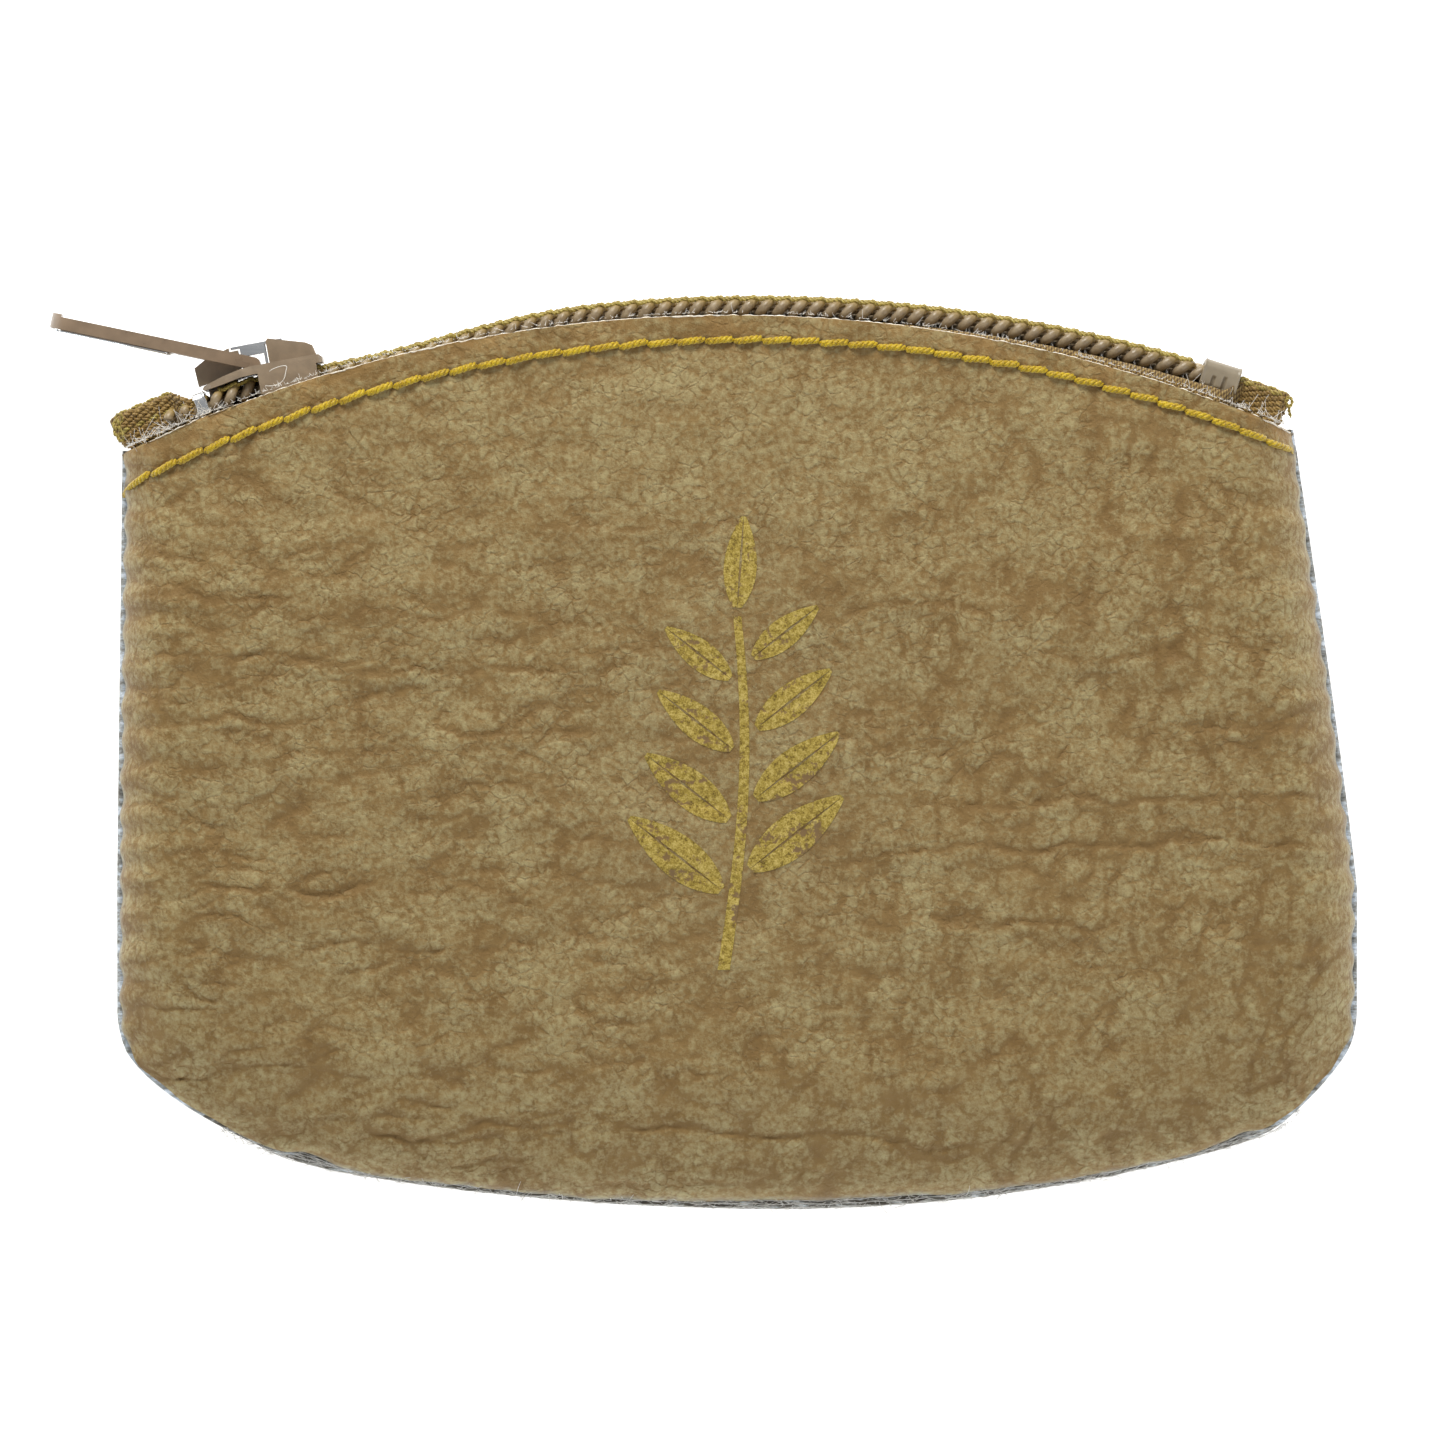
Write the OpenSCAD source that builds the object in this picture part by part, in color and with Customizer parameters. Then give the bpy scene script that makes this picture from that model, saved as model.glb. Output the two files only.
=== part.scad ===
// Zippered coin pouch in soft leather, lying flat on its back.
// X runs across the pouch, Y towards the zip, Z through its thickness.
// The origin is on the flat back, midway between the pouch's widest places.

/* [Pouch] */
// Width at the widest place
pouch_w = 110.3; // [92:0.1:132]
// Height of the mouth's crown above the origin
crown_y = 39.6; // [33:0.1:48]
// Depth of the bottom's lowest point below the origin
bottom_depth = 40; // [33:0.1:48]
// Thickness that the front is crowned to near the bottom
belly_t = 7.5; // [6:0.1:12]
// Radius of the leather's top edge
mouth_r = 125.7; // [100:0.1:160]
// Radius of the bottom edge on the left
bottom_left_r = 250; // [180:1:320]
// Radius of the bottom edge on the right
bottom_right_r = 150; // [120:1:200]
// How far the left side leans in at the top
left_lean = 0.6; // [0:0.1:4]
// How far the right side leans in at the top
right_lean = 5.8; // [0:0.1:8]
// Width and height of the slanted corner at the bottom left
left_corner = [15.5, 11.2];
// Width and height of the slanted corner at the bottom right
right_corner = [7.4, 8.8];
// How far the bottom left corner bulges past its slant
left_bulge = 1.7; // [0:0.1:2]
// How far the bottom right corner bulges past its slant
right_bulge = 0.75; // [0:0.05:1.5]

/* [Leather] */
// Thickness of the leather
leather_t = 1.2; // [0.8:0.1:1.5]
// Width of the seam allowance turned to the inside
allowance = 4; // [3:0.1:6]
// Width over which the sides roll round to the seam
side_roll = 6; // [4:0.1:9]
// Width over which the front rolls round to the bottom seam
front_roll = 14; // [9:0.1:18]
// Width over which the back rolls round to the bottom seam
back_roll = 8; // [5:0.1:12]

/* [Stitching] */
// Distance of the mouth's stitches from the leather's edge
stitch_inset = 2.6; // [2:0.1:4]
// Length of one stitch
stitch_pitch = 2.53; // [2:0.01:4]
// Diameter of the sewing thread
thread_d = 0.54; // [0.3:0.01:0.7]
// Length of one stitch in the side seam
seam_pitch = 3.2; // [2:0.1:5]

/* [Zip] */
// Radius of the chain's centre line
chain_r = 137.8; // [110:0.1:170]
// Height of the chain's centre line above the leather's crown
chain_rise = 0.3; // [-1:0.1:1.5]
// Distance between turns of one coil
coil_pitch = 1.5; // [1.3:0.01:1.8]
// Diameter of the coil's wire
coil_wire = 0.64; // [0.4:0.01:0.66]
// Width of one coil from its heads to its heels
coil_w = 3.64; // [2.8:0.01:4.6]
// Height of the coil
coil_h = 1.88; // [1.5:0.01:2.4]
// How far the heads pass the chain's centre when the chain is closed
head_lap = 0.57; // [0.4:0.01:0.6]
// Thickness of the woven tape
tape_t = 0.5; // [0.3:0.01:0.7]
// Depth to which the tape is sewn inside the mouth
tape_depth = 10; // [7:0.1:11]

/* [Slider] */
// Distance from the left corner of the mouth to the slider's middle when closed
closed_from_corner = 12.45; // [12:0.05:14]
// Gap left between the slider's sides and the tapes
slider_room = 0.35; // [0.25:0.05:1]
// Thickness of the slider's plates
plate_t = 0.75; // [0.6:0.05:1]
// Angle of the slider against the soft chain when closed
slider_nod = 8; // [4:0.1:9]
// Length of the pull
pull_len = 19; // [15:0.1:26]
// Width of the pull
pull_w = 4.8; // [4.4:0.1:6]
// Thickness of the pull
pull_t = 1.1; // [0.8:0.1:1.1]
// Angle of the pull above the horizontal at rest
pull_angle = 11.8; // [8:0.1:40]

/* [Foil motif] */
// Height of the gold leaf sprig
sprig_h = 39; // [24:0.5:44]
// Length of its longest leaves
leaf_len = 11; // [7:0.1:13]
// Thickness of the foil and its size coat
foil_t = 0.1; // [0.05:0.01:0.2]

/* [Hidden] */
$fn = 48;
eps = 0.01;

half_w = pouch_w / 2;
left_x = left_lean - half_w;
right_x = half_w - right_lean;
neck_half = 0.7;
spread_max = head_lap + neck_half + 0.23;
slider_w = 2 * (spread_max + coil_w - head_lap + 0.08);
half_t = slider_w / 2 + slider_room + tape_t + leather_t;
mouth_t = 2 * half_t;
mouth_c = [-0.5, crown_y - mouth_r];
lowest_x = 4;
widest_y = 28.5 - bottom_depth;
corner_top_y = 14.8 - bottom_depth;
corner_ease = 0.5;
corner_ease_h = 3;
bottom_blend = 1.2;
seam_low_z = 2 * leather_t + 0.5;
seam_rise = 1.6;
mouth_flat = 14;
belly_power = 1.5;
columns = 32;
rows = 18;

chain_c = [1.4, crown_y + chain_rise - chain_r];
chain_z = half_t;
rail_q = half_t - leather_t;
tape_top_h = -0.8;
coil_mid_h = tape_top_h + 0.02 + coil_h / 2;
coil_mid_q = coil_w / 2 - head_lap;
coil_top_h = coil_mid_h + coil_h / 2;
coil_start_x = left_x + 4.25;
coil_end_x = right_x - 5.75;
coil_sides = 5;
coil_steps = 6;
spread_from = 0.3;
spread_to = -3.6;
dip_len = 34;
tape_rings = 52;
cord_rings = 46;
cord_half = [coil_w / 2 - coil_wire - head_lap + 0.09, 0.28];
strip_half = [0.3, 0.06];
strip_q = 2.05;

closed_angle = -chain_angle(left_x + closed_from_corner);
slider_c = chain_point(-closed_angle);
slider_pitch = closed_angle - slider_nod;
tape_low_h = tape_top_h - tape_t;
channel_top = coil_top_h + 0.25;
channel_low = tape_low_h - 0.15;
plate_top = channel_top + plate_t;
wall_low = tape_top_h + 0.25;
wall_q = [coil_w - head_lap + 0.38, coil_w - head_lap + 1.38];
pivot = [-0.3, plate_top + 0.25];
lug_w = 1.6;
rear_lug_w = 2.3;
window_w = 2.7;
side_bar_w = (pull_w - window_w) / 2;
recess_r = pull_t / 2 + 0.15;
window_len = 6.4;
strip_w = 1.7;
strip_t = 0.25;
strip_h = plate_top + 1.8;
stop_wall = 0.25;
stop_len = 1.1;
bottom_stop_x = [right_x - 8.35, right_x - 4.95];

// ---------- small helpers ----------

function lerp(a, b, t) = a + (b - a) * t;
function clamp(t) = min(1, max(0, t));
function ease(t) = clamp(t) * clamp(t) * (3 - 2 * clamp(t));
function soft_max(a, b, k) = (a + b + sqrt((a - b) * (a - b) + k * k)) / 2;
function quarter(t) = sqrt(max(0, 1 - pow(1 - clamp(t), 2)));
function quads(a, b, c, d) = [[a, b, c], [a, c, d]];

// Triangles of a tube of `rings` sections with `sides` points each, closed at both ends
function tube_faces(rings, sides) = concat(
    [for (i = [0:rings - 2], k = [0:sides - 1])
        each quads(i * sides + k, i * sides + (k + 1) % sides,
                   (i + 1) * sides + (k + 1) % sides, (i + 1) * sides + k)],
    [[for (k = [sides - 1:-1:0]) k]],
    [[for (k = [0:sides - 1]) (rings - 1) * sides + k]]
);

module tube(sections) {
    polyhedron([for (s = sections) each s], tube_faces(len(sections), len(sections[0])));
}

module rod(a, b, r) {
    d = b - a;
    translate(a) rotate([0, acos(d.z / norm(d)), atan2(d.y, d.x)]) cylinder(h = norm(d), r = r);
}

module rounded_rect(size, r) {
    translate([r, 0]) square([size.x - 2 * r, size.y]);
    translate([0, r]) square([size.x, size.y - 2 * r]);
    for (x = [r, size.x - r], y = [r, size.y - r]) translate([x, y]) circle(r);
}

// ---------- outline of the pouch ----------

function mouth_y(x) = mouth_c.y + sqrt(mouth_r * mouth_r - pow(x - mouth_c.x, 2));

function corner_line(x, side, corner, bulge) =
    let (run = half_w + side * x)
    corner_top_y - corner.y / corner.x * run - bulge * sin(180 * pow(clamp(run / corner.x), 0.55));

function bottom_curve(x) =
    let (r = x < lowest_x ? bottom_left_r : bottom_right_r)
    r - bottom_depth - sqrt(r * r - pow(x - lowest_x, 2));

function bottom_y(x) =
    soft_max(soft_max(bottom_curve(x), corner_line(x, 1, left_corner, left_bulge), bottom_blend),
             corner_line(x, -1, right_corner, right_bulge), bottom_blend);

function top_y(side) = mouth_y(side < 0 ? left_x : right_x);

function side_x(y, side) =
    let (lean = side < 0 ? left_lean : right_lean,
         up = clamp((y - widest_y) / (top_y(side) - widest_y)),
         low = clamp((corner_top_y + corner_ease_h - y) / corner_ease_h))
    side * (half_w - lean * pow(up, 1.1) - corner_ease * low * low);

// A place on a panel, u from the left side to the right and v from the bottom to the mouth
function plan(u, v, inset) =
    let (top_x = lerp(left_x, right_x, u),
         low_y = bottom_y(lerp(-half_w, half_w, u)) + inset,
         y = lerp(low_y, mouth_y(top_x), v))
    [lerp(side_x(y, -1) + inset, side_x(y, 1) - inset, u), y];

// ---------- height of the two panels ----------

function seam_z(y) =
    lerp(seam_low_z, half_t, pow(clamp((y - corner_top_y) / (top_y(-1) - corner_top_y)), seam_rise));

function crown_z(x, y) =
    let (below = mouth_y(x) - y,
         depth = mouth_y(x) - bottom_y(x))
    lerp(mouth_t, belly_t, pow(clamp((below - mouth_flat) / (depth - mouth_flat)), belly_power));

function swell(x, y, roll) =
    quarter(min(x - side_x(y, -1), side_x(y, 1) - x) / side_roll)
    * quarter((y - bottom_y(x)) / roll);

function front_z(x, y) = lerp(seam_z(y), crown_z(x, y), swell(x, y, front_roll));
function back_z(x, y) = seam_z(y) * (1 - swell(x, y, back_roll));

function column(i) = (1 - cos(180 * i / columns)) / 2;
function row(j) = 1 - cos(90 * j / rows);
function on_seam(i, j) = i == 0 || i == columns || j == 0;

function panel_point(i, j, side, inner) =
    let (edge = plan(column(i), row(j), 0),
         p = plan(column(i), row(j), inner ? leather_t : 0),
         full = on_seam(i, j) ? 0 : swell(edge.x, edge.y, side > 0 ? front_roll : back_roll),
         face = side > 0 ? crown_z(edge.x, edge.y) : 0,
         turn = inner ? side * leather_t : 0)
    [p.x, p.y, lerp(seam_z(edge.y) + turn, face - turn, full)];

// The seam runs down the left side, along the bottom and up the right side
seam_count = 2 * rows + columns + 1;
function seam_ij(k) =
    k <= rows ? [0, rows - k] : k <= rows + columns ? [k - rows, 0] : [columns, k - rows - columns];

function allowance_point(k, lift) =
    let (ij = seam_ij(k),
         p = plan(column(ij.x), row(ij.y), allowance),
         edge = plan(column(ij.x), row(ij.y), 0))
    [p.x, p.y, seam_z(edge.y) + lift];

// A leather panel with its turned seam allowance, side 1 for the front and -1 for the back
module panel(side) {
    count = (columns + 1) * (rows + 1);
    points = concat(
        [for (i = [0:columns], j = [0:rows]) panel_point(i, j, side, false)],
        [for (i = [0:columns], j = [0:rows]) panel_point(i, j, side, true)],
        [for (k = [0:seam_count - 1]) allowance_point(k, 0)],
        [for (k = [0:seam_count - 1]) allowance_point(k, side * leather_t)]);
    function outer(i, j) = i * (rows + 1) + j;
    function inner(i, j) = count + outer(i, j);
    function seam(k) = outer(seam_ij(k).x, seam_ij(k).y);
    function fold(k) = count + seam(k);
    function flap(k) = 2 * count + k;
    function flap_back(k) = 2 * count + seam_count + k;
    last = seam_count - 1;
    faces = concat(
        [for (i = [0:columns - 1], j = [0:rows - 1])
            each quads(outer(i, j), outer(i, j + 1), outer(i + 1, j + 1), outer(i + 1, j))],
        [for (i = [0:columns - 1], j = [0:rows - 1])
            each quads(inner(i, j), inner(i + 1, j), inner(i + 1, j + 1), inner(i, j + 1))],
        [for (k = [0:last - 1]) each quads(seam(k), seam(k + 1), flap(k + 1), flap(k))],
        [for (k = [0:last - 1]) each quads(flap(k), flap(k + 1), flap_back(k + 1), flap_back(k))],
        [for (k = [0:last - 1]) each quads(flap_back(k), flap_back(k + 1), fold(k + 1), fold(k))],
        [for (i = [0:columns - 1])
            each quads(outer(i + 1, rows), outer(i, rows), inner(i, rows), inner(i + 1, rows))],
        quads(seam(0), flap(0), flap_back(0), fold(0)),
        quads(flap(last), seam(last), fold(last), flap_back(last)));
    polyhedron(points, side > 0 ? faces : [for (f = faces) [f[2], f[1], f[0]]]);
}

module front_panel() {
    color("#a98c63") panel(1);
}

module back_panel() {
    color("#a98c63") panel(-1);
}

// ---------- foil motif: a plain leaf sprig ----------

sprig_base = [-1.2, -18.6];
stem_w = 1.1;
leaf_w = 0.34;
leaf_pairs = 4;
leaf_steps = 8;

function stem_point(t) = sprig_base + [1.6 * sin(150 * t) + 0.4 * t, (sprig_h - leaf_len * 0.7) * t];

// A flat shape between two edges, laid on the front panel's face
module foil_strip(left, right) {
    n = len(left);
    function on_face(p, lift) = [p.x, p.y, front_z(p.x, p.y) + lift];
    tube([for (k = [0:n - 1]) [
        on_face(left[k], -foil_t / 2), on_face(left[k], foil_t),
        on_face(right[k], foil_t), on_face(right[k], -foil_t / 2)]]);
}

module leaf(base, angle, length) {
    along = [cos(angle), sin(angle)];
    across = [-sin(angle), cos(angle)];
    function edge(k, side) =
        let (t = lerp(0.03, 0.97, k / leaf_steps))
        base + along * length * t + across * side * length * leaf_w / 2 * pow(sin(180 * pow(t, 0.85)), 0.8);
    foil_strip([for (k = [0:leaf_steps]) edge(k, 1)], [for (k = [0:leaf_steps]) edge(k, -1)]);
}

module foil_motif() {
    color("#a1862f") {
        stem = [for (k = [0:10]) stem_point(k / 10)];
        foil_strip([for (p = stem) p - [stem_w / 2, 0]], [for (p = stem) p + [stem_w / 2, 0]]);
        leaf(stem_point(1) + [0, 0.5], 86, leaf_len * 0.78);
        for (k = [0:leaf_pairs - 1], side = [-1, 1]) {
            t = 0.22 + 0.2 * k + (side > 0 ? 0.06 : 0);
            size = leaf_len * (1 - 0.1 * k);
            leaf(stem_point(t) + [side * 0.9, 0], 90 - side * 52, size);
        }
    }
}

// ---------- the zip's chain ----------

function chain_angle(x) = asin((x - chain_c.x) / chain_r);
function chain_point(angle) = chain_c + chain_r * [sin(angle), cos(angle)];
function arc_mm(angle) = (angle + closed_angle) * chain_r * PI / 180;

// The soft chain runs straight through the slider and sags behind it
function chain_dip(a) =
    let (slope = tan(slider_nod), w = 180 * clamp(a / dip_len))
    a < 0 ? slope * a * exp(a / 2.5) : slope * dip_len / PI * sin(w) * (1 + cos(w)) / 2;

function spread(a) = spread_max * ease((spread_from - a) / (spread_from - spread_to));

// A place beside the chain: q across from its centre, h out from its centre line
function beside(angle, side, q, h) =
    let (a = arc_mm(angle), r = chain_r - chain_dip(a) + h)
    [chain_c.x + r * sin(angle), chain_c.y + r * cos(angle), chain_z + side * (q + spread(a))];

function turned(section, side) =
    side > 0 ? section : [for (k = [len(section) - 1:-1:0]) section[k]];

coil_turns = floor((chain_angle(coil_end_x) - chain_angle(coil_start_x)) * chain_r * PI / 180
                   / coil_pitch);
coil_turn_angle = coil_pitch / chain_r * 180 / PI;

// One ring of the coil's wire, square to the wire where it lies in its turn
function coil_ring(n, side) =
    let (f = n / coil_steps,
         angle = chain_angle(coil_start_x) + (f + (side > 0 ? 0 : 0.5)) * coil_turn_angle,
         out = [cos(360 * f), sin(360 * f)],
         rq = (coil_w - coil_wire) / 2,
         rh = (coil_h - coil_wire) / 2)
    turned([for (k = [0:coil_sides - 1])
        let (c = coil_wire / 2 * cos(360 * k / coil_sides),
             s = coil_wire / 2 * sin(360 * k / coil_sides))
        beside(angle + s / chain_r * 180 / PI, side,
               coil_mid_q + (rq + c) * out.x, coil_mid_h + (rh + c) * out.y)], side);

module coil(side) {
    tube([for (n = [0:coil_turns * coil_steps - 1]) coil_ring(n, side)]);
}

// An oval cord or thread along the chain
module along_chain(side, q, h, half, from_x, to_x) {
    a0 = chain_angle(from_x);
    a1 = chain_angle(to_x);
    tube([for (i = [0:cord_rings - 1])
        turned([for (k = [0:5])
            beside(lerp(a0, a1, i / (cord_rings - 1)), side,
                   q + half.x * cos(60 * k), h + half.y * sin(60 * k))], -side)]);
}

module front_coil() {
    color("#8a6a45") coil(1);
}

module back_coil() {
    color("#8a6a45") coil(-1);
}

module front_core_cord() {
    color("#b39a6b") along_chain(1, coil_mid_q, coil_mid_h, cord_half, coil_start_x, coil_end_x);
}

module back_core_cord() {
    color("#b39a6b") along_chain(-1, coil_mid_q, coil_mid_h, cord_half, coil_start_x, coil_end_x);
}

module coil_stitching(side) {
    along_chain(side, strip_q, coil_top_h + strip_half.y + eps, strip_half,
                slider_c.x - 3.4, bottom_stop_x[0] - 0.5);
}

module front_coil_stitching() {
    color("#b8902c") coil_stitching(1);
}

module back_coil_stitching() {
    color("#b8902c") coil_stitching(-1);
}

// ---------- the zip's tapes ----------

tape_straight_x = [left_x + 6.15, right_x - 6.25];
tape_gathered_x = [left_x + 4.85, right_x - 4.35];
tape_end_x = [left_x - 0.15, right_x - 0.45];

// The tape's section: a web under the coil and a leg sewn to the leather
tape_section = [
    [0.25, tape_top_h], [rail_q, tape_top_h], [rail_q, tape_top_h - tape_depth],
    [rail_q - tape_t, tape_top_h - tape_depth], [rail_q - tape_t, tape_low_h], [0.25, tape_low_h]
];
left_end_section = [[0.1, 2.4], [2.7, 2.4], [2.7, 0.45], [1.9, 0.35], [1.0, 0.35], [0.1, 0.45]];
right_end_section = [[0.1, 0.9], [2.4, 0.9], [2.4, -0.95], [1.7, -1.05], [0.9, -1.05], [0.1, -0.95]];

function tape_ring(x, side) =
    let (left = ease((tape_straight_x[0] - x) / (tape_straight_x[0] - tape_gathered_x[0])),
         right = ease((x - tape_straight_x[1]) / (tape_gathered_x[1] - tape_straight_x[1])),
         angle = chain_angle(x))
    turned([for (k = [0:5])
        let (p = lerp(lerp(tape_section[k], left_end_section[k], left), right_end_section[k], right),
             web_end = p.x > rail_q - tape_t - 1 ? 0 : 1 - left,
             open = spread(arc_mm(angle)))
        beside(angle, side, p.x - open * (1 - web_end), p.y)], side);

module tape(side) {
    xs = concat([tape_end_x[0], lerp(tape_end_x[0], tape_gathered_x[0], 0.5), tape_gathered_x[0],
                 lerp(tape_gathered_x[0], tape_straight_x[0], 0.5)],
                [for (i = [0:tape_rings]) lerp(tape_straight_x[0], tape_straight_x[1], i / tape_rings)],
                [lerp(tape_straight_x[1], tape_gathered_x[1], 0.5), tape_gathered_x[1],
                 lerp(tape_gathered_x[1], tape_end_x[1], 0.5), tape_end_x[1]]);
    tube([for (x = xs) tape_ring(x, side)]);
}

module front_zip_tape() {
    color("#a9823f") tape(1);
}

module back_zip_tape() {
    color("#a9823f") tape(-1);
}

// ---------- stops ----------

// Sets its children on the chain: X along it, Y out from it, Z across
module on_chain(angle, nod) {
    translate([each chain_point(angle), chain_z]) rotate(-angle - nod) children();
}

// A clip bent over the coils, open towards the tape
module clip(q0, q1, top, wall, length) {
    rotate([0, -90, 0]) linear_extrude(length, center = true) difference() {
        translate([q0 - wall, tape_top_h + eps])
            rounded_rect([q1 - q0 + 2 * wall, top + wall - tape_top_h], 2 * wall);
        translate([q0, tape_top_h - 1]) rounded_rect([q1 - q0, top - tape_top_h + 1], wall);
        translate([q0 - wall - 1, tape_top_h - 2]) square([q1 - q0 + 2 * wall + 2, 2 + 2 * wall]);
    }
}

module top_stop(side) {
    angle = -closed_angle - 5.45 / chain_r * 180 / PI;
    inside = coil_mid_q + spread_max - coil_w / 2;
    on_chain(angle, 0) mirror([0, 0, side > 0 ? 0 : 1])
        clip(inside - 0.06, inside + coil_w + 0.06, coil_top_h + 0.06, stop_wall, stop_len);
}

module front_top_stop() {
    color("#c9c9c6") top_stop(1);
}

module back_top_stop() {
    color("#c9c9c6") top_stop(-1);
}

module bottom_stop() {
    reach = coil_mid_q + coil_w / 2 + 0.12;
    color("#a08a6e") on_chain(chain_angle((bottom_stop_x[0] + bottom_stop_x[1]) / 2), 0)
        clip(-reach, reach, coil_top_h + 0.12, 0.35, bottom_stop_x[1] - bottom_stop_x[0]);
}

// ---------- slider, in its own frame: X along, Y out, Z across ----------

slider_end = 5.75;
front_lug = [[-5.5, -0.9], [-5.6, 0.8], [-4.6, 1.35], [-1.7, 2.2], [-1.5, 2.05], [-1.5, -0.2]];
rear_lug = [[1.05, -0.2], [1.05, 2.05], [1.25, 2.25], [4.5, 1.3], [5.05, 0.95], [5.3, -0.1], [5.3, -0.2]];

module top_plate_side() {
    polygon([[slider_end, channel_top], [slider_end, plate_top - 0.25], [slider_end - 0.25, plate_top],
             [-0.5, plate_top], [-1.6, plate_top - 0.1], [-3.2, plate_top - 0.45],
             [-5, plate_top - 1], [-5.15, plate_top - 1.25], [-4.95, plate_top - 1.4],
             [-3.2, channel_top - 0.38], [-1.6, channel_top - 0.06], [-0.5, channel_top]]);
}

module low_plate_side() {
    polygon([[slider_end, channel_low], [0, channel_low], [-1.6, channel_low - 0.05],
             [-3.2, channel_low - 0.35], [-5.4, channel_low - 0.8], [-5.4, channel_low - 1.45],
             [-3.2, channel_low - 1.1], [0, channel_low - plate_t], [slider_end, channel_low - plate_t]]);
}

// The plates seen from above, wider at the mouth where the coils part
module plate_plan(w) {
    rear = w / 2 - 0.35;
    half = [[slider_end, rear - 0.8], [slider_end - 0.3, rear - 0.3], [slider_end - 0.9, rear],
            [0, rear + 0.15], [-3, w / 2], [-4.4, w / 2 - 0.3], [-5.2, w / 2 - 1.3], [-5.5, 1.2]];
    polygon(concat(half, [for (k = [len(half) - 1:-1:0]) [half[k].x, -half[k].y]]));
}

module across(w) {
    linear_extrude(w, center = true) children();
}

module upright(h0, h1) {
    translate([0, h1, 0]) rotate([90, 0, 0]) linear_extrude(h1 - h0) children();
}

module slider_body() {
    color("#8c6f55") on_chain(-closed_angle, slider_nod) difference() {
        union() {
            intersection() {
                across(slider_w + 1) top_plate_side();
                upright(-4, 4) plate_plan(slider_w);
            }
            intersection() {
                across(slider_w) low_plate_side();
                upright(-4, 0) plate_plan(slider_w - 0.9);
            }
            for (side = [-1, 1])
                translate([-0.1, wall_low, side > 0 ? wall_q[0] : -wall_q[1]])
                    cube([slider_end - 0.5, channel_top + 0.3 - wall_low, wall_q[1] - wall_q[0]]);
            upright(channel_low - 0.6, channel_top + 0.1)
                polygon([[-2, 0.12], [-3.4, neck_half], [-4.3, neck_half - 0.1], [-4.7, 0.3],
                         [-4.7, -0.3], [-4.3, 0.1 - neck_half], [-3.4, -neck_half], [-2, -0.12]]);
            translate([0, plate_top]) across(lug_w) polygon(front_lug);
            translate([0, plate_top]) across(rear_lug_w) polygon(rear_lug);
        }
        // recess that the pull's round end and side bars turn in
        translate([pivot.x, pivot.y, 0]) cylinder(h = pull_w + 0.4, r = recess_r, center = true);
        for (side = [-1, 1])
            translate([pivot.x - 2, pivot.y - recess_r, side * (pull_w + window_w) / 4 - side_bar_w / 2 - 0.15])
                cube([2, 1.5, side_bar_w + 0.3]);
        // slot for the lock spring's prong and grooves for its strip
        translate([0.45, 0, -0.5]) cube([0.59, plate_top + eps, 1]);
        translate([-2.3, strip_h - 0.12, -strip_w / 2 - 0.1]) cube([5, 2, strip_w + 0.2]);
    }
}

module slider_lock_spring() {
    color("#c8ccce") on_chain(-closed_angle, slider_nod) {
        translate([-2.15, strip_h, -0.7]) cube([0.75, strip_t, 1.4]);
        translate([-1.4, strip_h, -strip_w / 2]) cube([3.9, strip_t, strip_w]);
        for (side = [-1, 1])
            translate([-1.35, strip_h - 0.75, side * (strip_w / 2 - strip_t / 2) - strip_t / 2])
                cube([2.25, 0.8, strip_t]);
        translate([0.7, coil_top_h + 0.12, -0.4]) cube([strip_t, strip_h - coil_top_h, 0.8]);
    }
}

module pull_tab() {
    reach = pull_len - pull_t / 2;
    end_r = pull_w / 2;
    color("#a58a6c") translate([0, 0, chain_z])
        translate([each pull_pivot(), 0]) rotate(-pull_angle)
            difference() {
                union() {
                    cylinder(h = pull_w, r = pull_t / 2, center = true);
                    upright(-pull_t / 2, pull_t / 2) difference() {
                        union() {
                            translate([end_r - reach, 0]) circle(end_r);
                            translate([end_r - reach, -end_r]) square([reach - end_r, pull_w]);
                        }
                        translate([-pull_t / 2 - window_len, -window_w / 2])
                            square([window_len + 0.1, window_w]);
                    }
                    // raised lip at the tip
                    intersection() {
                        upright(0, pull_t / 2 + 0.25) translate([end_r - reach, 0]) circle(end_r);
                        translate([-reach - 1, 0, -end_r]) cube([1.9, pull_t, pull_w]);
                    }
                }
                // shallow panel pressed into each face
                for (h = [-pull_t / 2 - 1, pull_t / 2 - 0.15])
                    upright(h, h + 1.15) translate([2.6 - reach, -1.5])
                        rounded_rect([reach - window_len - 4.2, 3], 1.2);
            }
}

function pull_pivot() =
    let (c = cos(slider_pitch), s = sin(slider_pitch))
    slider_c + [pivot.x * c - pivot.y * s, pivot.x * s + pivot.y * c];

// ---------- sewing threads ----------

stitch_c = mouth_c + [1.4, 0.1];
stitch_r = mouth_r - stitch_inset;
stitch_gap = 0.4;
inner_thread_d = 0.44;
function stitch_angle(x) = asin((x - stitch_c.x) / stitch_r);
first_stitch = stitch_angle(left_x + 0.5);
last_stitch = stitch_angle(right_x - 0.3);
stitch_count = floor((last_stitch - first_stitch) * stitch_r * PI / 180 / stitch_pitch);
stitch_step = (last_stitch - first_stitch) / stitch_count;

function stitch_place(k) =
    let (a = first_stitch + stitch_step * k)
    stitch_c + stitch_r * [sin(a), cos(a)];

// The leather's inner face, and the tape's face where tape is sewn under it
function inside_z(x, y, side) =
    let (full = swell(x, y, side > 0 ? front_roll : back_roll),
         leather = lerp(seam_z(y) + side * leather_t, (side > 0 ? crown_z(x, y) : 0) - side * leather_t, full),
         taped = x > tape_straight_x[0] - 1 && x < tape_straight_x[1] + 1)
    leather - (taped ? side * tape_t : 0);

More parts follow.
